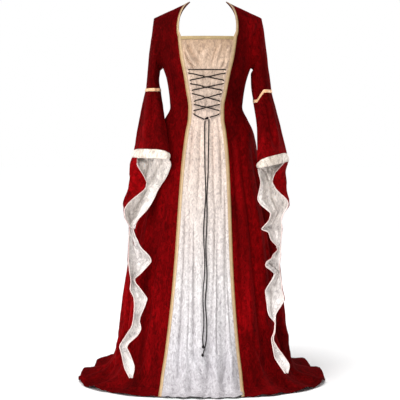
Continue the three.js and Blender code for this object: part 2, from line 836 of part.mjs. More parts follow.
function cordGeometry(extrudePath, steps) {
  const section = new THREE.Shape();
  for (let i = 0; i < cordSides; i += 1) {
    const angle = (2 * Math.PI * i) / cordSides;
    section[i ? "lineTo" : "moveTo"](cordRadius * Math.cos(angle), cordRadius * Math.sin(angle));
  }
  return new THREE.ExtrudeGeometry(section, { steps, bevelEnabled: false, extrudePath });
}

const lacingPoints = lacingRoute();
const lacingCurve = new StepCurve(lacingPoints, false, "centripetal");
addPiece("lacing_cord", cordGeometry(lacingCurve, lacingPoints.length - 1), darkCord);

function addKnot(name, at, radius, reach) {
  const geometry = new THREE.SphereGeometry(radius, 10, 6);
  geometry.scale(1, knotFlatness, reach / radius);
  const mesh = addPiece(name, geometry, darkCord);
  mesh.position.copy(at);
  return mesh;
}

// The waist knot lies across the panel, with one end higher than the other.
const knotRest = knotFlatness * knotRadius + 0.8;
const waistKnot = addKnot("lacing_knot", abovePanel(knotX, knotZ, knotRest), knotRadius, knotReach);
waistKnot.rotation.y = Math.PI / 2 - knotTilt;

// Free ends of the lace. They hang from the knot and rest on the panel's folds.
const endClear = 2.8;
const restingFold = folds.find((fold) => fold.place === -0.42);
const restingShare = 0.62;
const laceEnds = {
  right: table("x z", [
    [-11.5, -451],
    [-12.5, -470],
    [-12.5, -520],
    [-12, -580],
    [-11, -640],
    [-9, -700],
    [-9, -740],
    [-13, -790],
    [-16, -850],
    [-15, -910],
    [-13, -960],
    [-14, -1010],
    [-18, -1060],
    [-19, -1110],
    [-16, -1160],
    [-15, -1200],
    [-18, -1240],
    [-20, -1262],
  ]),
  left: table("x z", [
    [3.5, -445],
    [3, -464],
    [2, -520],
    [1, -580],
    [0, -640],
    [-3, -700],
    [-4.5, -740],
    [-4, -790],
    [-6, -850],
    [-9, -910],
    [-8, -960],
    [-6, -1010],
    [-9, -1060],
    [-13, -1110],
    [-10, -1160],
    [-9, -1210],
    [-13, -1260],
    [-20, -1292],
  ]),
};
const endKnotRadius = 4.2;
const endKnotStretch = 1.6;
const laceEndSteps = 40;

Object.entries(laceEnds).forEach(([name, route]) => {
  const foldTop = (z) => restingShare * foldHeight(restingFold.place, z);
  const points = route.map(({ x, z }) => abovePanel(x, z, endClear + foldTop(z)));
  const curve = new THREE.CatmullRomCurve3(points, false, "centripetal");
  addPiece(`lace_end_${name}`, cordGeometry(curve, laceEndSteps), darkCord);
  const [before, end] = points.slice(-2);
  const along = end.clone().sub(before).normalize();
  const knotHeight = endKnotStretch * endKnotRadius;
  const at = end.clone().addScaledVector(along, knotHeight + layGap);
  addKnot(`lace_end_knot_${name}`, at, endKnotRadius, knotHeight);
});

export default gown;
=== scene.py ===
import math

import bpy
import numpy as np
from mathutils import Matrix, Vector


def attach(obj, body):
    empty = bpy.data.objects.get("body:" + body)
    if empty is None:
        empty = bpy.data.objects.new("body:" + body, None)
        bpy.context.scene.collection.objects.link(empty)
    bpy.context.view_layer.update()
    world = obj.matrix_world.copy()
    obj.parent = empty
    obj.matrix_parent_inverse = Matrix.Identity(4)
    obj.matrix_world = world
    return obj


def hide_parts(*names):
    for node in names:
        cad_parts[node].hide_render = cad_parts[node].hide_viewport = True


# A worn medieval gown with nobody in it. Tables are in millimetres, like the pattern
# of the gown, and meshes are in metres. The wearer's left is +X and the front faces -Y.
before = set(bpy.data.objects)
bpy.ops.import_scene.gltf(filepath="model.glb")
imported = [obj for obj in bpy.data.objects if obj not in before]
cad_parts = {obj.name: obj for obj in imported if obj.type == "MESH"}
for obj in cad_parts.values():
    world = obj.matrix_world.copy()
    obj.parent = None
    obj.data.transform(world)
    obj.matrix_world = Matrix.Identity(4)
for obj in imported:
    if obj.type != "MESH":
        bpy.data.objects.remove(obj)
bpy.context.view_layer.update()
MM = 0.001

# Cloth and trim, as in the solids
VELVET = 1.6
LINING = 1.2
BRAID = 1.2
LAY_GAP = 0.3
FLOOR_DROP = 1450
HEM_LEAN = 24
BACK_NECK_EASE = 10
BRAID_HALF = 6.5
NECK_BRAID = 11
CORD_RADIUS = 2
CORD_STEP = 1.6
CORD_STRANDS = 3
LAY_PITCH = 8.0
KNOT_RADIUS = 4
KNOT_REACH = 8.5
KNOT_TILT = 0.42


def table(names, rows):
    """Rows of numbers as named columns."""
    return dict(zip(names.split(), np.array(rows, float).T))


def mix(a, b, t):
    return a + (b - a) * t


def smoothstep(t):
    t = np.clip(t, 0, 1)
    return t * t * (3 - 2 * t)


def flow(values, s, start=None):
    """A smooth curve through rows of values at fractional row numbers, with no overshoot."""
    values = np.asarray(values, float)
    steps = np.diff(values, axis=0)
    slopes = np.zeros_like(values)
    slopes[1:-1] = (steps[:-1] + steps[1:]) / 2
    limit = 3 * np.minimum(np.abs(steps[:-1]), np.abs(steps[1:]))
    slopes[1:-1] = np.clip(slopes[1:-1], -limit, limit)
    slopes[1:-1][steps[:-1] * steps[1:] <= 0] = 0
    slopes[0] = steps[0] if start is None else start
    slopes[-1] = steps[-1]
    s = np.asarray(s, float)
    row = np.clip(np.floor(s).astype(int), 0, len(values) - 2)
    t = (s - row).reshape(s.shape + (1,) * (values.ndim - 1))
    a, b = values[row], values[row + 1]
    da, db = slopes[row], slopes[row + 1]
    bend = (3 * (b - a) - 2 * da - db) + (da + db - 2 * (b - a)) * t
    return a + (da + bend * t) * t


def split_steps(counts, first=0):
    """Fractional row numbers, with a count of even steps from each row to the next."""
    steps = [first + i + np.arange(n) / n for i, n in enumerate(counts)]
    return np.append(np.concatenate(steps), first + len(counts))


def nearest(values, value):
    """Where in a row of values the closest one is."""
    return int(np.argmin(np.abs(values - value)))


# Rings of the body and skirt, from the shoulder seam to the edge of the train.
# front, side, back: heights. seam: half width of the ivory panel, or of the neckline.
# edge: half width to the armhole or side seam. width, fore, aft: half sizes of the form.
# cap: how far the shoulder has rounded out. square: bend of the ring, 2 is an ellipse.
# lift: how far the cloth has turned from hanging to lying on the floor.
GOWN = table("front side back seam edge width fore aft cap square lift", [
    (0, -62, 0, 68, 203, 212, 95, 82, 0, 2.5, 0),
    (-12, -72, -12, 79, 199, 209.5, 95, 83, 0.42, 2.5, 0),
    (-32, -93, -32, 92, 190, 204, 96, 85, 0.68, 2.5, 0),
    (-62, -124, -62, 102, 180, 198, 97, 87, 0.87, 2.5, 0),
    (-98, -158, -98, 106, 173, 190, 100, 90, 0.97, 2.5, 0),
    (-136, -188, -136, 104, 169.5, 183, 105, 93, 1, 2.5, 0),
    (-148, -212, -148, 103, 167.5, 177, 108, 94, 1, 2.5, 0),
    (-185, -236, -185, 98, 166.5, 170.5, 117, 97, 1, 2.5, 0),
    (-225, -247, -225, 91, 166, 166, 126, 98, 1, 2.5, 0),
    (-280, -290, -280, 79, 151, 151, 120, 93, 1, 2.5, 0),
    (-340, -343, -340, 69, 141, 141, 103, 83, 1, 2.5, 0),
    (-398, -398, -398, 60, 136, 136, 91, 76, 1, 2.5, 0),
    (-445, -445, -445, 61, 157, 157, 95, 88, 1, 2.4, 0),
    (-500, -500, -500, 70, 182, 182, 108, 110, 1, 2.3, 0),
    (-590, -590, -590, 80, 199, 199, 134, 140, 1, 2.2, 0),
    (-715, -715, -715, 88, 225, 225, 165, 180, 1, 2.1, 0),
    (-860, -860, -860, 95, 264, 264, 198, 228, 1, 2, 0),
    (-1010, -1010, -1010, 103, 285, 285, 227, 276, 1, 2, 0),
    (-1160, -1160, -1160, 115, 298, 298, 250, 318, 1, 2, 0),
    (-1285, -1280, -1265, 128, 310, 310, 266, 355, 1, 2, 0.1),
    (-1372, -1365, -1345, 140, 326, 326, 275, 402, 1, 2, 0.3),
    (-1418, -1417, -1402, 145, 366, 366, 286, 470, 1, 2, 0.7),
    (-1436, -1439, -1435, 148, 424, 424, 300, 545, 1, 2, 1),
    (-1446, -1448, -1448, 149, 475, 475, 318, 605, 1, 2, 1),
])
NECK_ROW = 5
NECK_BRAID_ROW = 6
ARMPIT_ROW = 8
LAST_ROW = 23
CENTRE_BACK = 4

# Folds round the skirt. Places count round each side from 0 at the centre front:
# 1 is the seam of the ivory panel, 2 the side, 3 the back neckline, 4 the centre back.
FOLDS = table("place depth start", [
    (-3.55, 26, -520),
    (-2.95, 30, -470),
    (-2.68, 24, -600),
    (-2.42, 30, -480),
    (-2.16, 22, -560),
    (-1.83, 24, -520),
    (-1.52, 20, -620),
    (-1.22, 16, -560),
    (-0.8, 10, -640),
    (-0.42, 13, -560),
    (-0.03, 9, -700),
    (0.38, 13, -580),
    (0.78, 11, -660),
    (1.2, 17, -540),
    (1.5, 19, -640),
    (1.8, 24, -500),
    (2.14, 22, -580),
    (2.4, 28, -470),
    (2.66, 26, -620),
    (2.93, 30, -480),
    (3.5, 24, -560),
])


def fold_height(place, z):
    """Height of the fold that runs over a place, at a height of the skirt."""
    places, depth, start = FOLDS["place"], FOLDS["depth"], FOLDS["start"]
    after = np.searchsorted(places, place, side="right")
    before = (after - 1) % len(places)
    after = after % len(places)
    around = 2 * CENTRE_BACK
    span = (places[after] - places[before]) % around
    share = ((place - places[before]) % around) / span

    def grown(fold):
        return depth[fold] * smoothstep((start[fold] - z) / (FLOOR_DROP + start[fold]))

    crest = 0.5 + 0.5 * np.cos(2 * math.pi * share)
    return mix(grown(before), grown(after), share) * crest


def ring_angle(half, ring):
    return np.arcsin(np.minimum(1, (half / ring["width"]) ** (ring["square"] / 2)))


def gown_point(s, place, behind=False):
    """Points of the gown's surface at fractional rows and signed places round it."""
    ring = {name: flow(column, s) for name, column in GOWN.items()}
    far = np.abs(place)
    back_neck = ring["seam"] + BACK_NECK_EASE * ring["cap"]
    seam = ring_angle(ring["seam"], ring)
    edge = ring_angle(ring["edge"], ring)
    back_seam = math.pi - ring_angle(back_neck, ring)
    if behind:
        inside = mix(back_seam, math.pi, far - 3)
        angle = np.where(far <= 3, mix(math.pi - edge, back_seam, far - 2), inside)
        middle, neck, depth = ring["back"], back_neck, ring["aft"]
    else:
        angle = np.where(far <= 1, far * seam, mix(seam, edge, far - 1))
        middle, neck, depth = ring["front"], ring["seam"], ring["fore"]
    bend = 2 / ring["square"]
    across = np.abs(np.sin(angle)) ** bend
    along = np.sign(np.cos(angle)) * np.abs(np.cos(angle)) ** bend
    share = (ring["width"] * across - neck) / (ring["edge"] - neck)
    z = mix(middle, ring["side"], np.clip(share, 0, 1))
    height = fold_height(place, z)
    rise = ring["lift"] if behind else ring["lift"] * (1 - along * along)
    out = height * (1 - rise)
    x = np.where(np.asarray(place) < 0, -1, 1) * (ring["width"] * across + out * np.sin(angle))
    y = -along * depth * ring["cap"] - out * np.cos(angle)
    return np.stack(np.broadcast_arrays(x + HEM_LEAN * z / FLOOR_DROP, y, z + height * rise), -1)


def row_steps(first, last, spacing):
    """Fractional rows, about evenly spaced down the cloth."""
    rows = np.arange(first, last + 1)[:, None]
    sides = [gown_point(rows, place, place > 2)[:, 0] for place in (0.0, 1.5, 2.5, 4.0)]
    ways = np.stack([np.linalg.norm(np.diff(side, axis=0), axis=1) for side in sides])
    counts = np.ceil(ways.max(axis=0) / spacing).astype(int)
    return split_steps(counts, first)[:, None]


# Cloth as grids of points, with gaps where there is no cloth
class Cloth:
    """A grid of points in millimetres. A joined grid's last column is its first one."""

    def __init__(self, points, present=None, joined=False):
        rows, columns = points.shape[:2]
        self.points = points
        number = np.arange(rows * columns).reshape(rows, columns)
        present = np.ones((rows, columns), bool) if present is None else present
        if joined:
            number[:, -1] = np.where(present[:, 0], number[:, 0], number[:, -1])
        self.present = present
        self.number = number
        corners = [number[:-1, :-1], number[1:, :-1], number[1:, 1:], number[:-1, 1:]]
        whole = present[:-1, :-1] & present[1:, :-1] & present[1:, 1:] & present[:-1, 1:]
        self.faces = np.stack(corners, -1)[whole]
        self.measure()

    def measure(self):
        """Outward directions, and the lengths across and down the cloth, in millimetres."""
        flat = self.points.reshape(-1, 3)
        a, b, c, d = (flat[self.faces[:, i]] for i in range(4))
        face = np.cross(c - a, d - b)
        face /= np.maximum(np.linalg.norm(face, axis=1, keepdims=True), 1e-9)
        out = np.zeros_like(flat)
        for i in range(4):
            np.add.at(out, self.faces[:, i], face)
        out /= np.maximum(np.linalg.norm(out, axis=1, keepdims=True), 1e-9)
        self.out = out[self.number.ravel()].reshape(self.points.shape)
        steps = np.linalg.norm(np.diff(self.points, axis=0), axis=2)
        steps = np.where(self.present[1:] & self.present[:-1], steps, 0)
        top = np.argmax(self.present, axis=0)
        start = -self.points[top, np.arange(len(top)), 2]
        first = np.zeros((1, len(top)))
        self.down = np.vstack([first, np.cumsum(steps, axis=0)]) + start
        side = np.linalg.norm(np.diff(self.points, axis=1), axis=2)
        side = np.where(self.present[:, 1:] & self.present[:, :-1], side, 0)
        self.across = np.hstack([np.zeros((len(side), 1)), np.cumsum(side, axis=1)])

    def push(self, height, floor=None):
        """Moves the points out of the cloth by a height for each."""
        self.points = self.points + self.out * height[..., None]
        if floor is not None:
            self.points[..., 2] = np.maximum(self.points[..., 2], floor)
        flat = self.points.reshape(-1, 3)
        self.points = flat[self.number.ravel()].reshape(self.points.shape)
        self.measure()

    def part(self, rows=slice(None), columns=slice(None), joined=False):
        piece = Cloth(self.points[rows, columns], self.present[rows, columns], joined)
        piece.out = self.out[rows, columns]
        piece.down = self.down[rows, columns]
        piece.across = self.across[rows, columns]
        return piece


TAPER_START = 0.05


def place_scale(cloth, place):
    """Millimetres of cloth for each unit of place."""
    return np.gradient(cloth.across, axis=1) / np.gradient(place)[None, :]


def creases(place, cloth, rows):
    """Heights of soft ridges and troughs. A row is the place and length down the cloth
    where one starts, the same where it ends, its width, its depth, and how far its
    middle swings aside."""
    scale = place_scale(cloth, place)
    total = np.zeros(cloth.down.shape)
    for p0, v0, p1, v1, width, depth, bow in rows:
        x, y = (place - p0) * scale, cloth.down - v0
        dx, dy = (p1 - p0) * scale, v1 - v0
        length = np.sqrt(dx * dx + dy * dy)
        along = (x * dx + y * dy) / length**2
        t = np.clip(along, 0, 1)
        aside = (x * dy - y * dx) / length - 4 * bow * t * (1 - t)
        beyond = (along - t) * length
        taper = smoothstep(4 * t * (1 - t) + TAPER_START)
        total += depth * taper * np.exp(-(aside**2 + beyond**2) / width**2)
    return total


RUMPLE_WAVES = 9
WAY_LENGTH = 1.7


def rumple(points, size, height, seed, stretch):
    """Soft unevenness with no pattern: a seeded sum of long waves."""
    random = np.random.default_rng(seed)
    total = np.zeros(points.shape[:2])
    for _ in range(RUMPLE_WAVES):
        way = random.normal(size=3) * (1, 1, 1 / stretch)
        phase = random.uniform(0, 2 * math.pi)
        total += np.sin(points @ (way * 2 * math.pi / (size * WAY_LENGTH)) + phase)
    return height * total / math.sqrt(RUMPLE_WAVES)


HEM_DEPTH = 18
HEM_RISE = 0.7
HEM_SOFTNESS = 3
STITCH_DEPTH = 0.9
STITCH_WIDTH = 2.2


def hem(cloth):
    """A turned hem along the last rows: a slightly thicker band under a sewn line."""
    from_edge = cloth.down[-1:] - cloth.down
    band = HEM_RISE * smoothstep((HEM_DEPTH - from_edge) / HEM_SOFTNESS + 0.5)
    line = -STITCH_DEPTH * np.exp(-(((from_edge - HEM_DEPTH) / STITCH_WIDTH) ** 2))
    return band + line


# Meshes
def new_object(name, points, faces, uvs=None, slots=None):
    """A smooth mesh, with lengths along the cloth and material numbers where they are given."""
    mesh = bpy.data.meshes.new(name)
    mesh.from_pydata((points * MM).tolist(), [], faces)
    if uvs is not None:
        layer = mesh.uv_layers.new(name="cloth")
        corner = np.empty(len(mesh.loops), np.int32)
        mesh.loops.foreach_get("vertex_index", corner)
        layer.data.foreach_set("uv", (uvs[corner] * MM).astype(np.float32).ravel())
    if slots is not None:
        mesh.polygons.foreach_set("material_index", slots.astype(np.int32))
    mesh.polygons.foreach_set("use_smooth", np.ones(len(faces), bool))
    mesh.update()
    obj = bpy.data.objects.new(name, mesh)
    bpy.context.scene.collection.objects.link(obj)
    return obj


def shell(name, cloth, near, far, slot_of_column=None):
    """A closed thin wall over a cloth. near and far may be heights for each point."""
    shape = cloth.points.shape[:2]
    near, far = (np.broadcast_to(np.asarray(h, float), shape).ravel() for h in (near, far))
    flat, out = cloth.points.reshape(-1, 3), cloth.out.reshape(-1, 3)
    count = len(flat)
    faces = cloth.faces
    edges = np.concatenate([faces[:, [i, (i + 1) % 4]] for i in range(4)])
    codes = edges[:, 0] * count + edges[:, 1]
    lone = edges[~np.isin(codes, edges[:, 1] * count + edges[:, 0])]
    rim = np.stack([lone[:, 1], lone[:, 0], lone[:, 0] + count, lone[:, 1] + count], 1)
    every = np.concatenate([faces, faces[:, ::-1] + count, rim])
    points = np.concatenate([flat + out * far[:, None], flat + out * near[:, None]])
    uvs = np.stack([cloth.across.ravel(), cloth.down.ravel()], 1)
    uvs = np.concatenate([uvs, uvs])
    slots = None
    if slot_of_column is not None:
        column = np.tile(slot_of_column, (shape[0], 1)).ravel()
        slots = column[every.min(axis=1) % count]
    used = np.unique(every)
    renumber = np.zeros(2 * count, int)
    renumber[used] = np.arange(len(used))
    return new_object(name, points[used], renumber[every].tolist(), uvs[used], slots)


def spaced_path(points, spacing):
    """The same line with evenly spaced points, on a smooth curve."""
    points = np.asarray(points, float)
    fine = catmull_line(points, 24)
    length = np.append(0, np.cumsum(np.linalg.norm(np.diff(fine, axis=0), axis=1)))
    count = max(2, int(round(length[-1] / spacing)) + 1)
    at = np.linspace(0, length[-1], count)
    return np.stack([np.interp(at, length, fine[:, i]) for i in range(3)], 1), length[-1]


def catmull_line(points, steps):
    """Centripetal Catmull-Rom curve through the points."""
    ends = [2 * points[0] - points[1], 2 * points[-1] - points[-2]]
    p = np.vstack([ends[0], points, ends[1]])
    gap = np.maximum(np.sqrt(np.linalg.norm(np.diff(p, axis=0), axis=1)), 1e-6)
    line = []
    t = np.arange(steps)[:, None] / steps
    for i in range(1, len(p) - 2):
        g0, g1, g2 = gap[i - 1], gap[i], gap[i + 1]
        step = p[i + 1] - p[i]
        m1 = g1 * ((p[i] - p[i - 1]) / g0 - (p[i + 1] - p[i - 1]) / (g0 + g1)) + step
        m2 = step + g1 * ((p[i + 2] - p[i + 1]) / g2 - (p[i + 2] - p[i]) / (g1 + g2))
        a = 2 * (p[i] - p[i + 1]) + m1 + m2
        b = -3 * (p[i] - p[i + 1]) - 2 * m1 - m2
        line.append(p[i] + m1 * t + b * t**2 + a * t**3)
    line.append(points[-1:])
    return np.concatenate(line)


def carried_frames(path):
    """Two directions across a path that don't spin along it."""
    tangents = np.gradient(path, axis=0)
    tangents /= np.maximum(np.linalg.norm(tangents, axis=1, keepdims=True), 1e-9)
    side = np.cross(tangents[0], (0.3, 0.2, 0.9))
    sides = []
    for tangent in tangents:
        side = side - tangent * np.dot(side, tangent)
        side = side / np.linalg.norm(side)
        sides.append(side)
    sides = np.array(sides)
    return sides, np.cross(tangents, sides)


def tube(path, radius, around, relief=0.0):
    """Points and faces of a round tube, or of a laid cord where its strands have relief."""
    sides, ups = carried_frames(path)
    count = len(path)
    angle = np.linspace(0, 2 * math.pi, around, endpoint=False)[None, :]
    turn = 2 * math.pi / LAY_PITCH * CORD_STEP * np.arange(count)[:, None]
    strands = np.abs(np.cos(CORD_STRANDS / 2 * (angle - turn)))
    reach = radius * (1 - relief + relief * strands)
    ring = sides[:, None] * np.cos(angle)[..., None] + ups[:, None] * np.sin(angle)[..., None]
    points = (path[:, None] + ring * reach[..., None]).reshape(-1, 3)
    i, j = np.meshgrid(np.arange(count - 1), np.arange(around), indexing="ij")
    next_j = (j + 1) % around
    quads = [i * around + j, i * around + next_j, (i + 1) * around + next_j, (i + 1) * around + j]
    faces = np.stack([q.ravel() for q in quads], 1).tolist()
    faces.append(list(range(around))[::-1])
    faces.append([(count - 1) * around + k for k in range(around)])
    return points, faces


def tube_object(name, runs):
    """One object of several tubes, each given as its points and faces."""
    points, faces = [], []
    for run_points, run_faces in runs:
        start = sum(len(p) for p in points)
        points.append(run_points)
        faces += [[start + k for k in face] for face in run_faces]
    return new_object(name, np.concatenate(points), faces)


# Camera, light and stage
CAMERA_BACK = 4.5
CAMERA_HEIGHT = -0.5
CAMERA_TILT = 3.2
FOCAL_PIXELS = 1177
MIDDLE_PIXEL = 208
FRAME_PIXELS = 400
FLOOR_Z = -FLOOR_DROP * MM
FLOOR_SIZE = 30
SKY_LIGHT = 0.2
SKY_SEEN = 1.0
SUN_ENERGY = 3.0
SUN_ANGLE = 40
SUN_WAY = (0.3, 0.6, -1.15)
LIT_POINT = (0, 0, -0.7)
# Round lamps: name, place and width in metres, power in watts
LAMPS = [
    ("side", (-3.4, -2.2, 0.1), 0.7, 42),
    ("low", (-0.5, -2.4, -1.38), 0.6, 24),
    ("rim_left", (-3.2, 2.2, 0.2), 1.0, 18),
    ("rim_right", (3.2, 2.0, 0.2), 0.8, 46),
]


def add_camera():
    data = bpy.data.cameras.new("camera")
    data.sensor_width = 36
    data.lens = FOCAL_PIXELS / FRAME_PIXELS * data.sensor_width
    data.shift_x = (FRAME_PIXELS / 2 - MIDDLE_PIXEL) / FRAME_PIXELS
    data.clip_end = 100
    camera = bpy.data.objects.new("camera", data)
    camera.location = (0, -CAMERA_BACK, CAMERA_HEIGHT)
    camera.rotation_euler = (math.radians(90 - CAMERA_TILT), 0, 0)
    bpy.context.scene.collection.objects.link(camera)
    bpy.context.scene.camera = camera


def aim(light, way):
    light.rotation_euler = way.to_track_quat("-Z", "Y").to_euler()
    bpy.context.scene.collection.objects.link(light)


def add_lights():
    sun = bpy.data.lights.new("key", "SUN")
    sun.energy = SUN_ENERGY
    sun.angle = math.radians(SUN_ANGLE)
    aim(bpy.data.objects.new("key", sun), Vector(SUN_WAY))
    for name, place, size, power in LAMPS:
        lamp = bpy.data.lights.new(name, "AREA")
        lamp.shape = "DISK"
        lamp.size = size
        lamp.energy = power
        light = bpy.data.objects.new(name, lamp)
        light.location = place
        aim(light, Vector(LIT_POINT) - Vector(place))


def add_stage():
    mesh = bpy.data.meshes.new("floor")
    signs = [(-1, -1), (1, -1), (1, 1), (-1, 1)]
    corners = [(x * FLOOR_SIZE, y * FLOOR_SIZE, 0) for x, y in signs]
    mesh.from_pydata(corners, [], [(0, 1, 2, 3)])
    floor = bpy.data.objects.new("floor", mesh)
    floor.location.z = FLOOR_Z
    bpy.context.scene.collection.objects.link(floor)
    floor.data.materials.append(Surface("pale_floor", {
        "Base Color": (0.98, 0.98, 0.98, 1),
        "Roughness": 0.9,
        "Specular IOR Level": 0,
    }).material)
    world = bpy.data.worlds.new("studio")
    world.use_nodes = True
    background = world.node_tree.nodes["Background"]
    path = world.node_tree.nodes.new("ShaderNodeLightPath")
    strength = world.node_tree.nodes.new("ShaderNodeMapRange")
    strength.inputs["To Min"].default_value = SKY_LIGHT
    strength.inputs["To Max"].default_value = SKY_SEEN
    world.node_tree.links.new(path.outputs["Is Camera Ray"], strength.inputs["Value"])
    world.node_tree.links.new(strength.outputs["Result"], background.inputs["Strength"])
    background.inputs["Color"].default_value = (1, 1, 1, 1)
    bpy.context.scene.world = world
    bpy.context.scene.view_settings.view_transform = "Standard"
    add_lights()


# Materials
class Surface:
    """A material that is built up from noise, ramps and bumps, fixed to the object."""

    def __init__(self, name, settings):
        self.material = bpy.data.materials.new(name)
        self.material.use_nodes = True
        self.tree = self.material.node_tree
        self.shader = self.tree.nodes["Principled BSDF"]
        for socket, value in settings.items():
            self.shader.inputs[socket].default_value = value

    def node(self, kind, **values):
        made = self.tree.nodes.new(kind)
        for key, value in values.items():
            if key in made.inputs:
                made.inputs[key].default_value = value
            else:
                setattr(made, key, value)
        return made

    def link(self, output, socket):
        self.tree.links.new(output, socket)

    def height_share(self, low, high):
        """0 at one height of the gown and 1 at another."""
        place = self.node("ShaderNodeTexCoord")
        apart = self.node("ShaderNodeSeparateXYZ")
        self.link(place.outputs["Object"], apart.inputs["Vector"])
        height = self.node("ShaderNodeMapRange", **{"From Min": low, "From Max": high})
        self.link(apart.outputs["Z"], height.inputs["Value"])
        return height.outputs["Result"]

    def noise(self, upright, scale, detail, rough, distort=0.0):
        """Noise whose patches are taller the smaller the upright scale is."""
        place = self.node("ShaderNodeTexCoord")
        mapping = self.node("ShaderNodeMapping", Scale=(1, 1, upright))
        self.link(place.outputs["Object"], mapping.inputs["Vector"])
        made = self.node("ShaderNodeTexNoise", Scale=scale, Detail=detail, Roughness=rough,
                         Distortion=distort)
        self.link(mapping.outputs["Vector"], made.inputs["Vector"])
        return made.outputs["Fac"]

    def ramp(self, value, stops):
        """Colours along a value. The first two stops are the lowest and the highest."""
        made = self.node("ShaderNodeValToRGB")
        elements = made.color_ramp.elements
        for i, (at, color) in enumerate(stops):
            element = elements[i] if i < 2 else elements.new(at)
            element.position = at
            element.color = (*color, 1)
        self.link(value, made.inputs["Fac"])
        return made.outputs["Color"]

    def grey_ramp(self, value, *stops):
        return self.ramp(value, [(at, (grey, grey, grey)) for at, grey in stops])

    def multiply(self, a, b):
        made = self.node("ShaderNodeMix", data_type="RGBA", blend_type="MULTIPLY")
        made.inputs[0].default_value = 1.0
        self.link(a, made.inputs[6])
        self.link(b, made.inputs[7])
        return made.outputs[2]

    def bump(self, height, strength, distance, normal=None):
        made = self.node("ShaderNodeBump", Strength=strength, Distance=distance)
        self.link(height, made.inputs["Height"])
        if normal is not None:
            self.link(normal, made.inputs["Normal"])
        return made.outputs["Normal"]

    def done(self, color, normal):
        self.link(color, self.shader.inputs["Base Color"])
        self.link(normal, self.shader.inputs["Normal"])
        return self.material


def red_velvet():
    """Wine-red crushed velvet: pile pressed flat in soft patches, which catch the light,
    and painted shade on the train and on the bodice and sleeves above the waist.
    """
    velvet = Surface("red_crushed_velvet", {
        "Roughness": 0.82,
        "Specular IOR Level": 0.02,
        "Sheen Weight": 0.1,
        "Sheen Roughness": 0.4,
        "Sheen Tint": (0.8, 0.02, 0.03, 1),
    })
    crush = velvet.noise(0.5, 90, 4, 0.6, 1.4)
    patch = velvet.noise(0.16, 26, 2, 0.5, 0.5)
    broad = velvet.noise(0.16, 8, 1, 0.5, 0.3)
    pile = velvet.noise(1, 1500, 2, 0.6)
    color = velvet.ramp(crush, [
        (0.32, (0.090, 0.0003, 0.0007)),
        (0.70, (0.295, 0.0015, 0.0034)),
        (0.5, (0.180, 0.0007, 0.0016)),
    ])
    color = velvet.multiply(color, velvet.grey_ramp(patch, (0.32, 0.72), (0.68, 1.12)))
    color = velvet.multiply(color, velvet.grey_ramp(broad, (0.36, 0.62), (0.64, 1.14)))
    # Painted shade by height: darker on the train along the floor, and on the bodice and sleeves
    # above the waist
    height = velvet.height_share(FLOOR_Z, 0)
    shade_by_height = [(0.0, 0.48), (1.0, 0.56), (0.05, 0.62), (0.2, 0.96), (0.55, 1), (0.72, 0.60)]
    color = velvet.multiply(color, velvet.grey_ramp(height, *shade_by_height))
    rolled = velvet.bump(patch, 0.4, 0.005)
    pressed = velvet.bump(crush, 0.6, 0.0018, rolled)
    return velvet.done(color, velvet.bump(pile, 0.25, 0.0004, pressed))


def ivory_velvet(name, dark=None, light=None, relief=1.0):
    """Ivory crushed velvet with silvery flecks, the brightest of them painted sheen highlights.
    Without a dark and a light colour it is the panel's: peach at the top, and whiter towards
    the hem, partly painted light and shade. With them, painted light brightens it higher up."""
    velvet = Surface(name, {
        "Specular IOR Level": 0.4,
        "Sheen Weight": 0.25,
        "Sheen Roughness": 0.35,
        "Sheen Tint": (1, 0.96, 0.93, 1),
    })
    crush = velvet.noise(0.5, 85, 4, 0.66, 1.8)
    patch = velvet.noise(0.5, 24, 3, 0.55, 0.8)
    pile = velvet.noise(1, 1400, 2, 0.6)
    if dark is None:
        # The panel's colour by height: peach at the top and whiter towards the hem, partly its
        # own tone and partly painted light; the darker very top and floor edge are painted shade
        ground = velvet.ramp(velvet.height_share(FLOOR_Z, -0.13), [
            (0.0, (0.41, 0.39, 0.41)),
            (1.0, (0.39, 0.255, 0.155)),
            (0.1, (0.51, 0.495, 0.52)),
            (0.3, (0.575, 0.55, 0.55)),
            (0.55, (0.585, 0.505, 0.46)),
            (0.78, (0.64, 0.50, 0.415)),
            (0.93, (0.54, 0.39, 0.285)),
            (0.97, (0.455, 0.31, 0.21)),
        ])
    else:
        # Painted light: the lining and cuff are brighter towards the wrist and darker lower down
        # the hanging sleeve
        painted_light_by_height = velvet.ramp(velvet.height_share(-0.9, -0.6), [
            (0.0, (0.86, 0.85, 0.85)),
            (1.0, (1.16, 1.13, 1.09)),
        ])
        ground = velvet.multiply(velvet.ramp(patch, [(0.3, dark), (0.7, light)]), painted_light_by_height)
    # Flecks of the crushed pile: random tone, with the brightest painted as sheen highlights
    flecks_and_painted_sheen = velvet.ramp(crush, [
        (0.28, (0.50, 0.47, 0.49)),
        (0.72, (1.36, 1.36, 1.35)),
        (0.5, (0.98, 0.97, 0.96)),
    ])
    rough = velvet.grey_ramp(crush, (0.3, 0.66), (0.7, 0.34))
    velvet.link(rough, velvet.shader.inputs["Roughness"])
    folded = velvet.bump(patch, 0.6, 0.006)
    pressed = velvet.bump(crush, 0.75, 0.0017 * relief, folded)
    return velvet.done(velvet.multiply(ground, flecks_and_painted_sheen), velvet.bump(pile, 0.2, 0.0004, pressed))


def plain_cloth(name, color, roughness, metallic=0.0, weave=900, uneven=0.18, shine=0.5):
    """A small-scale woven or wound yarn surface, for braid, ribbon and cord."""
    cloth = Surface(name, {
        "Roughness": roughness,
        "Metallic": metallic,
        "Specular IOR Level": shine,
        "Sheen Weight": 0.3 * shine,
    })
    thread = cloth.noise(1, weave, 2, 0.6)
    drift = cloth.noise(1, 60, 2, 0.5)
    dark = tuple(c * (1 - uneven) for c in color)
    light = tuple(min(1, c * (1 + uneven)) for c in color)
    threads = cloth.ramp(thread, [(0.3, dark), (0.7, light)])
    drifts = cloth.grey_ramp(drift, (0.3, 0.88), (0.7, 1.08))
    return cloth.done(cloth.multiply(threads, drifts), cloth.bump(thread, 0.4, 0.0005))


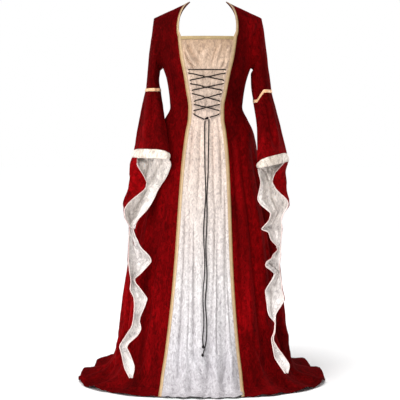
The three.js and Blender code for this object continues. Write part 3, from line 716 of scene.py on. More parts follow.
# Looks: the material slot and the material of each
LOOKS = {
    "red": ("red_velvet", red_velvet()),
    "panel": ("ivory_velvet", ivory_velvet("ivory_crushed_velvet")),
    "lining": ("ivory_velvet", ivory_velvet(
        "ivory_lining_velvet", (0.52, 0.48, 0.46), (1.0, 0.975, 0.955))),
    # The cuff is the lining's cloth in a darker, warmer copy: the darkening is painted shade
    "cuff": ("ivory_velvet", ivory_velvet(
        "ivory_cuff_velvet", (0.42, 0.36, 0.31), (0.82, 0.765, 0.70), 0.45)),
    "edge": ("ivory_velvet", plain_cloth("pale_pink_edge", (0.80, 0.64, 0.60), 0.6)),
    "gold": ("gold_braid", plain_cloth("gold_braid", (0.36, 0.22, 0.085), 0.42, 0.25)),
    "cream": ("gold_braid", plain_cloth("cream_braid", (0.50, 0.35, 0.20), 0.5, 0.1)),
    "loop": ("ivory_velvet", plain_cloth("ivory_loop", (0.62, 0.47, 0.37), 0.65)),
    "ribbon": ("gold_braid", plain_cloth("peach_gold_ribbon", (0.80, 0.46, 0.25), 0.4, 0.15)),
    "cord": ("dark_cord", plain_cloth(
        "dark_cord", (0.008, 0.0045, 0.005), 0.65, 0.0, 1200, 0.35, 0.1)),
    "olive": ("gold_braid", plain_cloth("olive_gold_piping", (0.38, 0.27, 0.12), 0.5, 0.15)),
}


def dress(obj, nodes, *looks):
    """Gives a piece its looks, and puts it in the place of its solids where it has any."""
    for look in looks:
        obj.data.materials.append(LOOKS[look][1])
    if nodes:
        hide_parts(*nodes)
    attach(obj, "root")


# A piece fills at least this share of the rectangle that it is cut from
LEAST_FILL = 0.34


def declare_sheet(cloth):
    """Works out the cut: the piece's width and length along the cloth, and its area, and keeps
    none of them.
    """
    flat = cloth.points.reshape(-1, 3)
    a, b, c, d = (flat[cloth.faces[:, i]] for i in range(4))
    area = np.linalg.norm(np.cross(c - a, d - b), axis=1).sum() / 2 * MM * MM
    width = np.ptp(cloth.across, axis=1).max() * MM
    length = max(np.ptp(cloth.down) * MM, area / width)
    length = min(length, area / (LEAST_FILL * width))


WORN = ("hung", ["worn_on_shoulders"])
TRIM = ("stretched", ["front_centre_cloth"])


def sew(name, cloth, wall, nodes, looks, held, rests_on, with_pieces=(), slot_of_column=None):
    """Adds a sheet of cloth: its wall, from one height over the cloth to another, its
    looks and its solids, and works out its cut without keeping it."""
    piece = shell(name, cloth, *wall, slot_of_column)
    dress(piece, nodes, *looks)
    declare_sheet(cloth)


add_camera()

# Places on the front panel. It is followed in straight steps from ring to ring, as the
# solids are.
RING_FRONT = GOWN["front"]


def front_place(x, z):
    """A point on the front, with the directions across the cloth and out of it."""
    below = int(np.argmax(RING_FRONT <= z))
    share = (z - RING_FRONT[below - 1]) / (RING_FRONT[below] - RING_FRONT[below - 1])

    def point_at(place):
        ends = [gown_point(float(row), place) for row in (below - 1, below)]
        return mix(ends[0], ends[1], share)

    seam = GOWN["seam"][below]
    place = x / seam
    for _ in range(6):
        place += (x - point_at(place)[0]) / seam
    across = point_at(place + 0.05) - point_at(place - 0.05)
    across /= np.linalg.norm(across)
    up = gown_point(float(below - 1), place) - gown_point(float(below), place)
    up /= np.linalg.norm(up)
    return point_at(place), across, np.cross(across, up)


def above_panel(x, z, distance):
    at, _, out = front_place(x, z)
    return at + out * (VELVET + distance)


# Free ends of the lace. They hang from the knot and rest on the panel's folds.
KNOT_X = -4
KNOT_Z = -441
END_CLEAR = 2.8
RESTING_FOLD = -0.42
RESTING_SHARE = 0.62
LACE_ENDS = {
    "right": [
        (-11.5, -451), (-12.5, -470), (-12.5, -520), (-12, -580), (-11, -640), (-9, -700),
        (-9, -740), (-13, -790), (-16, -850), (-15, -910), (-13, -960), (-14, -1010),
        (-18, -1060), (-19, -1110), (-17.5, -1160), (-18, -1200), (-21, -1240), (-20, -1262),
    ],
    "left": [
        (3.5, -445), (3, -464), (2, -520), (1, -580), (0, -640), (-3, -700),
        (-4.5, -740), (-4, -790), (-6, -850), (-9, -910), (-8, -960), (-6, -1010),
        (-9, -1060), (-13, -1110), (-10, -1160), (-9, -1210), (-13, -1260), (-20, -1292),
    ],
}
STRAND_SWELL = 1.08
STRAND_DEPTH = 0.22
KNOT_STRAND_DEPTH = 0.2
KNOT_FLATTEN = 0.75
END_KNOT_RADIUS = 4.2
END_KNOT_SIZE = 5.2
END_KNOT_CORD = 1.7
TAIL_RADIUS = 1.6
TAIL_LENGTH = 7


def cord_run(path, radius=CORD_RADIUS):
    """A cord of laid strands, a little wider at its crests than its even thickness."""
    return tube(path, radius * STRAND_SWELL, 12, STRAND_DEPTH)


def knot_run(at, along, size, radius, squeeze=0.8):
    """An overhand knot: a trefoil pulled tight along the cord."""
    t = np.linspace(0, 2 * math.pi, 91)[:-1]
    sideways = np.sin(t) + 2 * np.sin(2 * t)
    forward = -np.sin(3 * t)
    lengthwise = np.cos(t) - 2 * np.cos(2 * t)
    along = np.asarray(along, float) / np.linalg.norm(along)
    side = np.cross(along, (0, 1, 0))
    side /= np.linalg.norm(side)
    front = np.cross(side, along)
    loops = sideways[:, None] * side * squeeze + forward[:, None] * front * KNOT_FLATTEN
    path = at + size / 3 * (loops + lengthwise[:, None] * along)
    return tube(np.vstack([path, path[:1]]), radius, 10, KNOT_STRAND_DEPTH)


def add_lace_ends():
    for name, route in LACE_ENDS.items():
        points = []
        for x, z in route:
            fold = RESTING_SHARE * fold_height(RESTING_FOLD, z)
            points.append(above_panel(x, z, END_CLEAR + fold))
        path, length = spaced_path(points, CORD_STEP)
        lace = tube_object(f"lace_{name}", [cord_run(path)])
        dress(lace, [f"lace_end_{name}"], "cord")
        along = points[-1] - points[-2]
        along /= np.linalg.norm(along)
        middle = points[-1] + along * (1.6 * END_KNOT_RADIUS + LAY_GAP)
        tail_points = [middle + along * reach for reach in (0, 4, TAIL_LENGTH)]
        tail, _ = spaced_path(tail_points, CORD_STEP)
        runs = [
            knot_run(middle - along, along, END_KNOT_SIZE, END_KNOT_CORD),
            cord_run(tail, TAIL_RADIUS),
        ]
        knot = tube_object(f"lace_knot_{name}", runs)
        dress(knot, [f"lace_end_knot_{name}"], "cord")


add_lace_ends()

# Lacing through the loops
LACING = table("z right left", [
    (-267, -71, 63),
    (-305, -64.5, 56),
    (-342, -57.5, 49.5),
    (-382, -50, 41.5),
    (-419, -52, 40.5),
])
LOOP_HEIGHT = 8
TURN_ROOM = 2.2
CORD_REST = LAY_GAP + CORD_RADIUS + 0.4
CORD_HUMP = 2 * CORD_RADIUS + 0.6
CROSSING_REACH = 0.24
WAIST_KNOT_REST = 0.7 * KNOT_RADIUS + 0.8
WAIST_KNOT_SIZE = 7.4
WAIST_KNOT_SQUEEZE = 0.36
STRAND_SHARES = (0.14, 0.3, 0.42, 0.5, 0.58, 0.7, 0.86)


def turn_at(side, row, falling):
    """Where the cord passes up or down through a loop."""
    x = LACING["left" if side > 0 else "right"][row]
    reach = LOOP_HEIGHT / 2 + TURN_ROOM
    ends = (reach, 0, -reach) if falling else (-reach, 0, reach)
    return [(x, LACING["z"][row] + rise) for rise in ends]


def lacing_points():
    """The cord from the knot up through every loop in turn, and down the other side."""
    last = len(LACING["z"]) - 1
    stops = [turn_at(-1 if (last - i) % 2 else 1, i, False) for i in range(last, -1, -1)]
    stops += [turn_at(1 if (last - i) % 2 else -1, i, True) for i in range(last + 1)]
    aside, rise = KNOT_REACH + CORD_RADIUS, KNOT_REACH * math.tan(KNOT_TILT)
    points = [above_panel(KNOT_X + aside, KNOT_Z + rise, CORD_REST)]
    for number, turn in enumerate(stops):
        if number:
            (x0, z0), (x1, z1) = stops[number - 1][2], turn[0]
            for t in STRAND_SHARES:
                near = smoothstep(1 - abs(t - 0.5) / CROSSING_REACH)
                hump = CORD_HUMP * near if number <= last else 0
                points.append(above_panel(mix(x0, x1, t), mix(z0, z1, t), CORD_REST + hump))
        points += [above_panel(x, z, CORD_REST) for x, z in turn]
    points.append(above_panel(KNOT_X - aside, KNOT_Z - rise, CORD_REST))
    return points


def add_lacing():
    path, _ = spaced_path(lacing_points(), CORD_STEP)
    cord = tube_object("lacing", [cord_run(path)])
    dress(cord, ["lacing_cord"], "cord")
    middle = above_panel(KNOT_X, KNOT_Z, WAIST_KNOT_REST)
    along = (math.cos(KNOT_TILT), 0, math.sin(KNOT_TILT))
    run = knot_run(middle, along, WAIST_KNOT_SIZE, CORD_RADIUS, WAIST_KNOT_SQUEEZE)
    knot = tube_object("waist_knot", [run])
    dress(knot, ["lacing_knot"], "cord")


add_lacing()

# Panels of the body and skirt
OUTSIDE = (0, VELVET)
FRONT_SPACING = 5.4
BACK_SPACING = 8
CENTRE_COLUMNS = 97
SIDE_COLUMNS = 74
BACK_COLUMNS = 173
BACK_SEAMS = (3, 4, 5)
FLOOR_LIMIT = -FLOOR_DROP + 1
LOOSE_START = 420
LOOSE_LENGTH = 300
# Size, height and stretch of the rumples, and their shares on the bodice and the skirt
BODY_RUMPLES = [
    (95, 1.1, 2.2, 0.35, 1.2),
    (38, 0.45, 1.6, 0.5, 1.0),
]
SEAM_DEPTH = 1.3
SEAM_WIDTH = 3.2
BRAID_CLEAR = 7
BRAID_FADE = 9
HEM_WAVE = 0.16
HEM_WAVE_REACH = 40
MIRROR_RANGE = (-1.98, -1.05)

# Creases, each as a row: place and length down the cloth at its start, the same at its
# end, width, depth, and how far its middle swings aside
CENTRE_CREASES = [
    # drag lines over the bust, from the upper corners towards the lacing
    (-0.80, 164, -0.22, 264, 5, 9.0, -9),
    (-0.86, 186, -0.40, 268, 5, -8.0, -6),
    (-0.64, 158, -0.06, 256, 5, -8.5, -10),
    (-0.50, 158, 0.06, 236, 6, 3.5, -8),
    (-0.88, 210, -0.50, 268, 5, 6.0, -4),
    (0.04, 180, -0.14, 254, 6, 3.4, 4),
    (-0.14, 172, -0.30, 240, 6, -3.4, 3),
    (0.46, 164, 0.28, 252, 5, 5.0, -4),
    (0.32, 170, 0.14, 254, 5, -5.0, -3),
    (0.82, 168, 0.42, 252, 6, 4.0, 6),
    (0.70, 190, 0.58, 264, 5, -4.4, 0),
    (0.86, 214, 0.66, 266, 5, 3.4, 2),
    (-0.05, 262, -0.14, 330, 5, -3.4, 2),
    (0.25, 275, 0.12, 345, 5, -2.8, -3),
    (-0.45, 280, -0.28, 350, 5, -2.8, 3),
    (0.05, 345, -0.05, 420, 5, -3.0, 2),
    # pulls between the loops
    (-0.85, 306, -0.3, 322, 4, 1.6, 2),
    (0.85, 306, 0.3, 322, 4, 1.6, -2),
    (-0.82, 344, -0.25, 336, 4, -1.4, 2),
    (0.82, 344, 0.3, 336, 4, -1.4, -2),
    (-0.85, 383, -0.25, 400, 4, 1.7, 2),
    (0.82, 383, 0.28, 396, 4, 1.7, -2),
    # upright folds from the waist down
    (-0.66, 436, -0.70, 760, 6, -6.5, 3),
    (-0.40, 440, -0.44, 640, 6, 2.6, -2),
    (-0.22, 450, -0.26, 800, 6, -5.5, 2),
    (0.36, 440, 0.40, 820, 6, -6.5, -3),
    (0.52, 460, 0.50, 700, 7, 2.6, 2),
    (0.72, 440, 0.66, 840, 6, -6.0, 2),
    (0.86, 600, 0.82, 1380, 6, -8.0, 2),
    (-0.80, 700, -0.60, 1410, 6, -9.0, 3),
    (-0.70, 860, -0.48, 1390, 7, 3.6, 2),
    (-0.58, 740, -0.34, 1400, 5.5, -8.5, -2),
    (-0.41, 780, -0.20, 1390, 5.5, -8.0, 2),
    (-0.30, 860, -0.14, 1380, 6, 3.2, -2),
    (-0.06, 840, 0.02, 1300, 6, -4.5, 2),
    (0.44, 720, 0.15, 1430, 6.5, -11.5, 5),
    (0.34, 840, 0.22, 1300, 6, 3.4, 4),
    (0.58, 760, 0.40, 1400, 6, -8.5, -3),
    (0.50, 860, 0.30, 1360, 6, 3.4, 2),
    (0.80, 820, 0.62, 1420, 6, -7.5, 3),
    # near the hem, where the folds break on the floor
    (-0.22, 1300, 0.10, 1412, 6, -8.0, -6),
    (-0.34, 1310, -0.10, 1432, 8, 5.4, 5),
    (0.12, 1330, 0.30, 1440, 7, -8.5, 4),
    (0.22, 1340, 0.40, 1436, 8, 5.6, 3),
    (0.68, 1310, 0.50, 1440, 7, -8.5, 6),
    (0.80, 1320, 0.72, 1446, 7, 5.6, -3),
    (-0.84, 1250, -0.88, 1440, 6, -7.0, 3),
    (-0.72, 1330, -0.54, 1446, 8, 5.6, -4),
    (-0.50, 1350, -0.66, 1440, 7, -7.0, 3),
]

SIDE_CREASES = [
    # bust and armhole
    (1.95, 236, 1.45, 262, 9, 2.0, 6),
    (1.92, 262, 1.3, 300, 9, -1.8, 8),
    (1.6, 150, 1.75, 226, 9, -1.8, -4),
    (1.3, 96, 1.5, 190, 11, 1.4, 6),
    (1.85, 96, 1.72, 190, 8, 1.6, -4),
    # waist
    (1.98, 372, 1.3, 384, 7, -1.6, 5),
    (1.98, 392, 1.4, 400, 7, 1.5, -4),
    (1.98, 412, 1.24, 408, 8, -1.6, 4),
    (1.98, 428, 1.5, 440, 8, 1.5, -5),
    (1.1, 352, 1.5, 372, 7, 1.2, 3),
    # long folds down to the floor, fanning out
    (1.12, 470, 1.08, 1420, 10, -7.4, 4),
    (1.32, 520, 1.3, 1430, 12, -10.2, -6),
    (1.42, 700, 1.4, 1300, 9, 6.1, 5),
    (1.62, 520, 1.64, 1440, 13, -11.4, 6),
    (1.74, 760, 1.74, 1380, 9, 6.1, -6),
    (1.9, 500, 1.92, 1440, 12, -9.3, -5),
    (1.22, 900, 1.16, 1430, 8, 5.2, -5),
    (1.55, 860, 1.5, 1430, 9, -6.9, -8),
    # breaks where the skirt meets the floor
    (1.3, 1230, 1.62, 1440, 14, 10.2, 14),
    (1.42, 1200, 1.78, 1460, 13, -10.2, 12),
    (1.62, 1220, 1.9, 1490, 14, 10.2, 14),
    (1.12, 1300, 1.3, 1450, 13, -8.1, 8),
    (1.8, 1330, 1.7, 1520, 14, -10.2, 10),
    (1.96, 1400, 1.9, 1560, 14, 10.2, 8),
]

BACK_CREASES = [
    # shoulder blades and armholes, as on the front
    (2.08, 150, 2.5, 226, 10, -1.6, 5),
    (2.05, 236, 2.55, 258, 9, 1.8, 5),
    (2.05, 262, 2.7, 296, 10, -1.8, 8),
    (5.92, 150, 5.5, 226, 10, -1.6, -5),
    (5.95, 238, 5.4, 262, 9, 1.8, -6),
    (5.95, 266, 5.2, 300, 10, -1.8, -8),
    # soft rolls across the small of the back
    (2.2, 366, 3.3, 374, 8, 1.6, 5),
    (2.1, 388, 3.9, 396, 9, -2.2, -4),
    (4.2, 380, 5.8, 372, 9, 1.8, 6),
    (4.0, 404, 5.9, 402, 9, -2.2, -5),
    (2.4, 420, 3.6, 414, 9, 1.9, 5),
    (4.5, 426, 5.6, 418, 9, 1.7, 4),
    # long folds down to the train
    (2.05, 520, 2.02, 1440, 11, -7.8, 4),
    (2.28, 500, 2.27, 1560, 12, -9.4, -6),
    (2.52, 560, 2.53, 1600, 12, -10.1, 7),
    (2.8, 500, 2.8, 1640, 12, -10.1, -8),
    (3.12, 520, 3.2, 1660, 14, -10.9, 9),
    (3.3, 640, 3.38, 1640, 13, 7.8, -8),
    (3.72, 470, 3.76, 1670, 14, -9.4, 8),
    (3.9, 600, 3.98, 1660, 13, 7.8, -6),
    (4.2, 480, 4.18, 1670, 14, -10.1, 7),
    (4.62, 560, 4.66, 1660, 13, 7.0, -8),
    (4.78, 480, 4.86, 1660, 13, -10.9, 8),
    (5.18, 520, 5.2, 1640, 12, -10.1, -7),
    (5.45, 500, 5.46, 1600, 12, -9.4, 6),
    (5.72, 560, 5.72, 1540, 12, -9.4, -6),
    (5.95, 500, 5.98, 1440, 11, -7.8, -4),
    # the train fans out over the floor
    (2.3, 1330, 2.15, 1640, 14, 9.4, 10),
    (2.6, 1320, 2.42, 1700, 15, 9.4, 14),
    (2.95, 1330, 2.86, 1720, 14, -7.8, -12),
    (3.4, 1300, 3.3, 1760, 15, 9.4, 16),
    (3.62, 1400, 3.86, 1740, 15, -7.8, 14),
    (4.1, 1380, 3.96, 1760, 14, 7.8, -16),
    (4.4, 1320, 4.52, 1760, 15, 9.4, 12),
    (4.95, 1340, 5.08, 1740, 15, 9.4, -14),
    (5.3, 1330, 5.42, 1700, 14, -7.8, 12),
    (5.5, 1320, 5.68, 1680, 15, 9.4, -12),
    (5.8, 1330, 5.92, 1620, 13, 7.8, 8),
]


def mirrored(rows):
    """The same creases on the other side, uneven by a little so that they aren't twins."""
    random = np.random.default_rng(5)
    out = []
    for p0, v0, p1, v1, width, depth, bow in rows:
        shift, drop = random.uniform(-0.05, 0.05), random.uniform(-14, 14)
        width *= random.uniform(0.8, 1.2)
        depth *= random.uniform(0.8, 1.15)
        start, end = np.clip((shift - p0, shift - p1), *MIRROR_RANGE)
        out.append((start, v0 + drop, end, v1 + drop, width, depth, -bow))
    return out


def seam_lines(place, cloth, seams):
    """Narrow valleys along sewn seams."""
    scale = place_scale(cloth, place)
    away = np.stack([(place - seam) * scale for seam in seams])
    return -SEAM_DEPTH * np.exp(-((away / SEAM_WIDTH) ** 2)).sum(axis=0)


def clear_of_braid(cloth, place):
    """0 under the princess braid and 1 away from it."""
    away = np.abs(np.abs(place) - 1) * place_scale(cloth, place)
    return smoothstep((away - BRAID_CLEAR) / BRAID_FADE)


def lift_hem(cloth, place, seed):
    """Raises the edge of the hem in small uneven waves, where the cloth breaks on the floor."""
    random = np.random.default_rng(seed)
    from_edge = cloth.down[-1:] - cloth.down
    scale = place_scale(cloth, place)
    fade = smoothstep(1 - from_edge / HEM_WAVE_REACH)
    for at in np.arange(place[0], place[-1], HEM_WAVE):
        middle, half = at + random.uniform(0, HEM_WAVE), random.uniform(8, 20)
        rise = random.uniform(1.5, 5)
        wave = rise * fade * np.exp(-(((place - middle) * scale / half) ** 2))
        cloth.points[..., 2] += wave
        cloth.points[..., 1] -= np.sign(random.uniform(-1, 2)) * 0.8 * wave
    cloth.measure()


def gown_cloth(place, first, spacing, behind, crease_rows, seed):
    """The front or back from a ring down to the floor, with its creases and rumples."""
    rows = row_steps(first, LAST_ROW, spacing)
    signed = np.where(place > CENTRE_BACK, place - 2 * CENTRE_BACK, place)
    points = gown_point(rows, signed, behind)
    present = np.ones(points.shape[:2], bool)
    if behind:
        present &= ~((rows < NECK_ROW - 1e-6) & (np.abs(signed)[None, :] > 3 + 1e-6))
    cloth = Cloth(points, present)
    height = creases(place, cloth, crease_rows)
    loose = smoothstep((cloth.down - LOOSE_START) / LOOSE_LENGTH)
    for i, (size, high, stretch, bodice, skirt) in enumerate(BODY_RUMPLES):
        height += rumple(points, size, high, seed + i, stretch) * mix(bodice, skirt, loose)
    if not behind:
        height *= clear_of_braid(cloth, place)
    cloth.push(height, FLOOR_LIMIT)
    return cloth


def places(low, high, count, *kept):
    """Evenly spaced places, with some kept exactly."""
    every = np.linspace(low, high, count)
    for value in kept:
        every[nearest(every, value)] = value
    return every


def add_panels():
    centre_place = places(-1, 1, CENTRE_COLUMNS)
    centre = gown_cloth(centre_place, NECK_ROW, FRONT_SPACING, False, CENTRE_CREASES, 11)
    lift_hem(centre, centre_place, 12)
    centre.push(hem(centre) * clear_of_braid(centre, centre_place))
    sew("front_centre_cloth", centre, OUTSIDE, ["front_centre_panel"], ["panel"], *WORN)
    sides = {
        "left": (places(1, 2, SIDE_COLUMNS), SIDE_CREASES, 21),
        "right": (places(-2, -1, SIDE_COLUMNS), mirrored(SIDE_CREASES), 31),
    }
    for name, (place, rows, seed) in sides.items():
        cloth = gown_cloth(place, 0, FRONT_SPACING, False, rows, seed)
        lift_hem(cloth, place, seed)
        cloth.push(hem(cloth) * clear_of_braid(cloth, place))
        nodes = [f"bodice_side_front_{name}", f"skirt_side_front_{name}"]
        sew(f"side_front_cloth_{name}", cloth, OUTSIDE, nodes, ["red"], *WORN)
    back_place = places(2, 6, BACK_COLUMNS, *BACK_SEAMS)
    back = gown_cloth(back_place, 0, BACK_SPACING, True, BACK_CREASES, 41)
    back.push(hem(back))
    back.push(seam_lines(back_place, back, BACK_SEAMS))
    cuts = [nearest(back_place, cut) for cut in (2, *BACK_SEAMS, 6)]
    backs = {
        "side_back_left_cloth": ["bodice_side_back_left", "skirt_side_back_left"],
        "back_left_cloth": ["back_left"],
        "back_right_cloth": ["back_right"],
        "side_back_right_cloth": ["bodice_side_back_right", "skirt_side_back_right"],
    }
    for i, (title, nodes) in enumerate(backs.items()):
        part = back.part(columns=slice(cuts[i], cuts[i + 1] + 1))
        sew(title, part, OUTSIDE, nodes, ["red"], *WORN)


add_panels()

# Gold braid on the princess seams and beside the neck opening
BRAID_NEAR = VELVET + LAY_GAP
BRAID_FACE = BRAID_NEAR + BRAID * 0.7
BRAID_COLUMNS = 11
BRAID_STEP = 2.0
BRAID_PITCH = 8.0
BRAID_EDGE = 0.86
BRAID_EDGE_WIDTH = 0.13
EDGE_HEIGHT = 0.35
EDGE_TWIST = 0.12
EDGE_PITCH = 2.6
PLAIT_HEIGHT = 0.5
PLAIT_LEAN = 0.45
GOLD_FROM = 0.3
NECK_BRAID_END = 0.925
NECK_BRAID_STEPS = 120
NECK_BRAID_ROWS = 9


def seam_scale(rows, side):
    """Millimetres of cloth for each unit of place, just beside the seam."""
    step = 0.01
    at, near, inner = (gown_point(rows, np.array([side * (1 + i * step)])) for i in (0, 1, -1))
    return [np.linalg.norm(point - at, axis=2) / step for point in (near, inner)]


def braid_relief(t, along):
    """Two corded edges with a plait between them."""
    edge = np.exp(-(((np.abs(t) - BRAID_EDGE) / BRAID_EDGE_WIDTH) ** 2))
    cord = edge * (EDGE_HEIGHT + EDGE_TWIST * np.cos(2 * math.pi * along / EDGE_PITCH))
    lean = PLAIT_LEAN * np.abs(t)
    strand = np.abs(np.sin(math.pi * (along / BRAID_PITCH + lean)))
    other = np.abs(np.sin(math.pi * (along / BRAID_PITCH - lean + 0.5)))
    return cord + (1 - edge) * PLAIT_HEIGHT * np.maximum(strand, other)


def add_princess_braid(name, side):
    rows = row_steps(0, LAST_ROW, BRAID_STEP)
    above = smoothstep((NECK_ROW - rows) / 0.9)
    t = np.linspace(-1, 1, BRAID_COLUMNS)[None, :]
    outer = mix(BRAID_HALF, NECK_BRAID, above)
    inner = BRAID_HALF * (1 - above)
    away = np.where(t > 0, t * outer, t * inner)
    away = mix(away, NECK_BRAID * (t + 1) / 2, above)
    out_scale, in_scale = seam_scale(rows, side)
    place = side * (1 + np.where(away > 0, away / out_scale, away / in_scale))
    points = gown_point(rows, place)
    if side < 0:
        points = points[:, ::-1]
        t = t[:, ::-1]
    cloth = Cloth(points)
    relief = braid_relief(t, cloth.down)
    cream = (t[0] <= GOLD_FROM).astype(int)
    wall = (BRAID_NEAR, BRAID_FACE + relief)
    sew(f"princess_braid_{name}", cloth, wall, [f"princess_trim_{name}"], ["gold", "cream"],
        *TRIM, slot_of_column=cream)


def add_neck_braid():
    rows = np.linspace(NECK_ROW, NECK_BRAID_ROW, NECK_BRAID_ROWS)[:, None]
    place = np.linspace(-NECK_BRAID_END, NECK_BRAID_END, NECK_BRAID_STEPS)
    cloth = Cloth(gown_point(rows, place))
    t = np.linspace(-1, 1, NECK_BRAID_ROWS)[:, None]
    wall = (BRAID_NEAR, BRAID_FACE + braid_relief(t, cloth.across))
    sew("neckline_braid", cloth, wall, ["neckline_trim_front"], ["olive"], *TRIM)


add_princess_braid("left", 1)
add_princess_braid("right", -1)
add_neck_braid()

# Sleeves below the armhole. high, low: heights of the ring's outer and inner points.
# outer, inner: their distance from the gown's middle. y: its centre. slant: how far the
# inner point comes forward and the outer one goes back. depth: half its depth. dip: 1
# where the ring stays level and then falls in one short curve.
SLEEVE_RINGS = "high low outer inner y slant depth dip"
SLEEVES = {
    "right": table(SLEEVE_RINGS, [
        (-118, -258, 212, 182, 0, 0, 50, 0),
        (-190, -273, 221, 185, -2, 0, 46, 0),
        (-262, -295, 229, 187, -5, 0, 43, 0),
        (-327, -327, 235, 184, -10, 4, 41, 0),
        (-333, -333, 236, 183, -11, 4, 41, 0),
        (-339, -339, 238, 181, -12, 5, 42, 0),
        (-410, -410, 253, 168, -36, 18, 52, 0),
        (-480, -480, 265, 157, -69, 36, 54, 0),
        (-556, -556, 277, 145, -107, 54, 52, 0),
        (-588, -589, 284, 142, -122, 59, 52, 0),
    ]),
    "left": table(SLEEVE_RINGS, [
        (-118, -258, 212, 173, 0, 0, 50, 0),
        (-190, -274, 222, 164, -2, 0, 46, 0),
        (-262, -312, 231, 165, -5, 0, 43, 0.6),
        (-332, -370, 240, 173, -12, 4, 41, 1),
        (-338, -376, 241, 174, -13, 4, 41, 1),
        (-344, -382, 242, 174, -14, 5, 42, 1),
        (-412, -440, 260, 182, -36, 16, 50, 0.5),
        (-484, -508, 276, 184, -68, 32, 53, 0),
        (-568, -592, 294, 184, -105, 48, 51, 0),
        (-602, -624, 301, 184, -120, 54, 52, 0),
    ]),
}
DIP_START = 0.42
DIP_END = 0.86
BAND_TOP = 4
BAND_SEAM = 5
BAND_FOOT = 6
CUFF_ROW = 9
WRIST_ROW = 10
RING_COLUMNS = 16

# The hanging part below the wrist: its inner free edge, its outer side and its outer
# free edge, as distances from the gown's middle.
DRAPE_ROWS = "z inner outer free"
DRAPES = {
    "right": table(DRAPE_ROWS, [
        (-612, 137, 289, 263),
        (-652, 151, 294, 240),
        (-684, 172, 299, 228),
        (-708, 187, 303, 239),
        (-732, 197, 306, 270),
        (-758, 211, 309, 297),
        (-782, 228, 309, 309),
        (-806, 250, 306, 306),
        (-842, 281, 292, 292),
        (-880, 268, 291, 291),
        (-914, 250, 290, 290),
        (-960, 207, 290, 290),
        (-1000, 240, 286, 286),
        (-1036, 273, 283, 283),
        (-1066, 246, 284, 284),
        (-1100, 223, 270, 270),
        (-1130, 232, 269, 269),
        (-1178, 253, 273, 273),
        (-1206, 245, 280, 280),
        (-1232, 256, 297, 297),
        (-1272, 297, 321, 321),
        (-1310, 281, 313, 313),
        (-1350, 268, 304, 304),
        (-1386, 276, 285, 285),
    ]),
    "left": table(DRAPE_ROWS, [
        (-640, 188, 290, 250),
        (-675, 195, 293, 238),
        (-709, 188, 296, 256),
        (-741, 181, 299, 292),
        (-763, 198, 298, 297),
        (-792, 230, 280, 278),
        (-820, 218, 269, 269),
        (-848, 197, 271, 271),
        (-860, 221, 271, 271),
        (-890, 232, 267, 267),
        (-921, 258, 268, 268),
        (-945, 236, 267, 267),
        (-977, 208, 261, 261),
        (-1014, 251, 265, 265),
        (-1049, 224, 269, 269),
        (-1074, 211, 272, 272),
        (-1104, 213, 279, 279),
        (-1130, 217, 264, 264),
        (-1160, 224, 248, 248),
        (-1190, 244, 249, 248),
        (-1222, 242, 247, 246),
        (-1250, 233, 238, 238),
        (-1284, 238, 258, 258),
        (-1316, 245, 281, 281),
        (-1343, 262, 297, 297),
        (-1369, 281, 290, 290),
    ]),
}
DRAPE_BACK = table("z y", [
    (-600, -76),
    (-690, -82),
    (-760, -98),
    (-850, -126),
    (-950, -156),
    (-1050, -178),
    (-1160, -196),
    (-1264, -216),
    (-1330, -236),
    (-1400, -252),
])
DRAPE_START = -600
DRAPE_GIRTH_TOP = 300
DRAPE_GIRTH_FOOT = 34
DRAPE_DEPTHS = (9, 66)
DRAPE_SPARE = 8
DRAPE_FIRST = ARMPIT_ROW
DRAPE_LAST = RING_COLUMNS + 2
DRAPE_SHARES = (0, 0.4, 0.74, 1)
OUTER_DEPTH = 0.35


def armhole_points(side, column):
    """The top of the sleeve: the edge of the armhole, down its front and up its back."""
    turned = np.where(column > RING_COLUMNS, column - RING_COLUMNS, column)
    row = np.minimum(turned, RING_COLUMNS - turned)
    front, back = (gown_point(row, 2.0 * side, behind) for behind in (False, True))
    return np.where((turned > ARMPIT_ROW)[:, None], back, front)


def ring_points(side, ring, column):
    """A ring of the sleeve, leaning from its outer point to its inner one."""
    angle = 2 * math.pi * column / RING_COLUMNS
    middle, half = (ring["outer"] + ring["inner"]) / 2, (ring["outer"] - ring["inner"]) / 2
    x = side * (middle + half * np.cos(angle))
    y = ring["y"] + ring["slant"] * np.cos(angle) - ring["depth"] * np.sin(angle)
    inward = (1 - np.cos(angle)) / 2
    dipped = smoothstep((inward - DIP_START) / (DIP_END - DIP_START))
    z = mix(ring["high"], ring["low"], mix(inward, dipped, ring["dip"]))
    return np.stack([x, y, z], -1)


def drape_points(side, rows, number, column):
    """A row of the hanging part: inner free edge, back, outer side, outer free edge."""
    z, inner, outer, free = (rows[name][number] for name in DRAPE_ROWS.split())
    share = (z - DRAPE_START) / (rows["z"][-1] - DRAPE_START)
    girth = mix(DRAPE_GIRTH_TOP, DRAPE_GIRTH_FOOT, share)
    span = 2 * outer - inner - free
    depth = np.clip(min((girth - span) / 2, span + DRAPE_SPARE), *DRAPE_DEPTHS)
    back = np.interp(-z, -DRAPE_BACK["z"], DRAPE_BACK["y"])
    knots = np.array([
        (inner, back - depth),
        (mix(inner, outer, 0.5), back),
        (outer, back - OUTER_DEPTH * depth),
        (free, back - depth),
    ])
    share = (column - DRAPE_FIRST) / (DRAPE_LAST - DRAPE_FIRST)
    step = np.clip(np.searchsorted(DRAPE_SHARES, share, side="right") - 1, 0, 2)
    low, high = (np.take(DRAPE_SHARES, step + i) for i in (0, 1))
    t = ((share - low) / (high - low))[:, None]
    a, b, c, d = (knots[np.clip(step + i, 0, 3)] for i in (-1, 0, 1, 2))
    bend = 2 * a - 5 * b + 4 * c - d + (3 * b - a - 3 * c + d) * t
    flat = b + 0.5 * t * (c - a + bend * t)
    return np.stack([side * flat[:, 0], flat[:, 1], np.full(len(column), z)], -1)


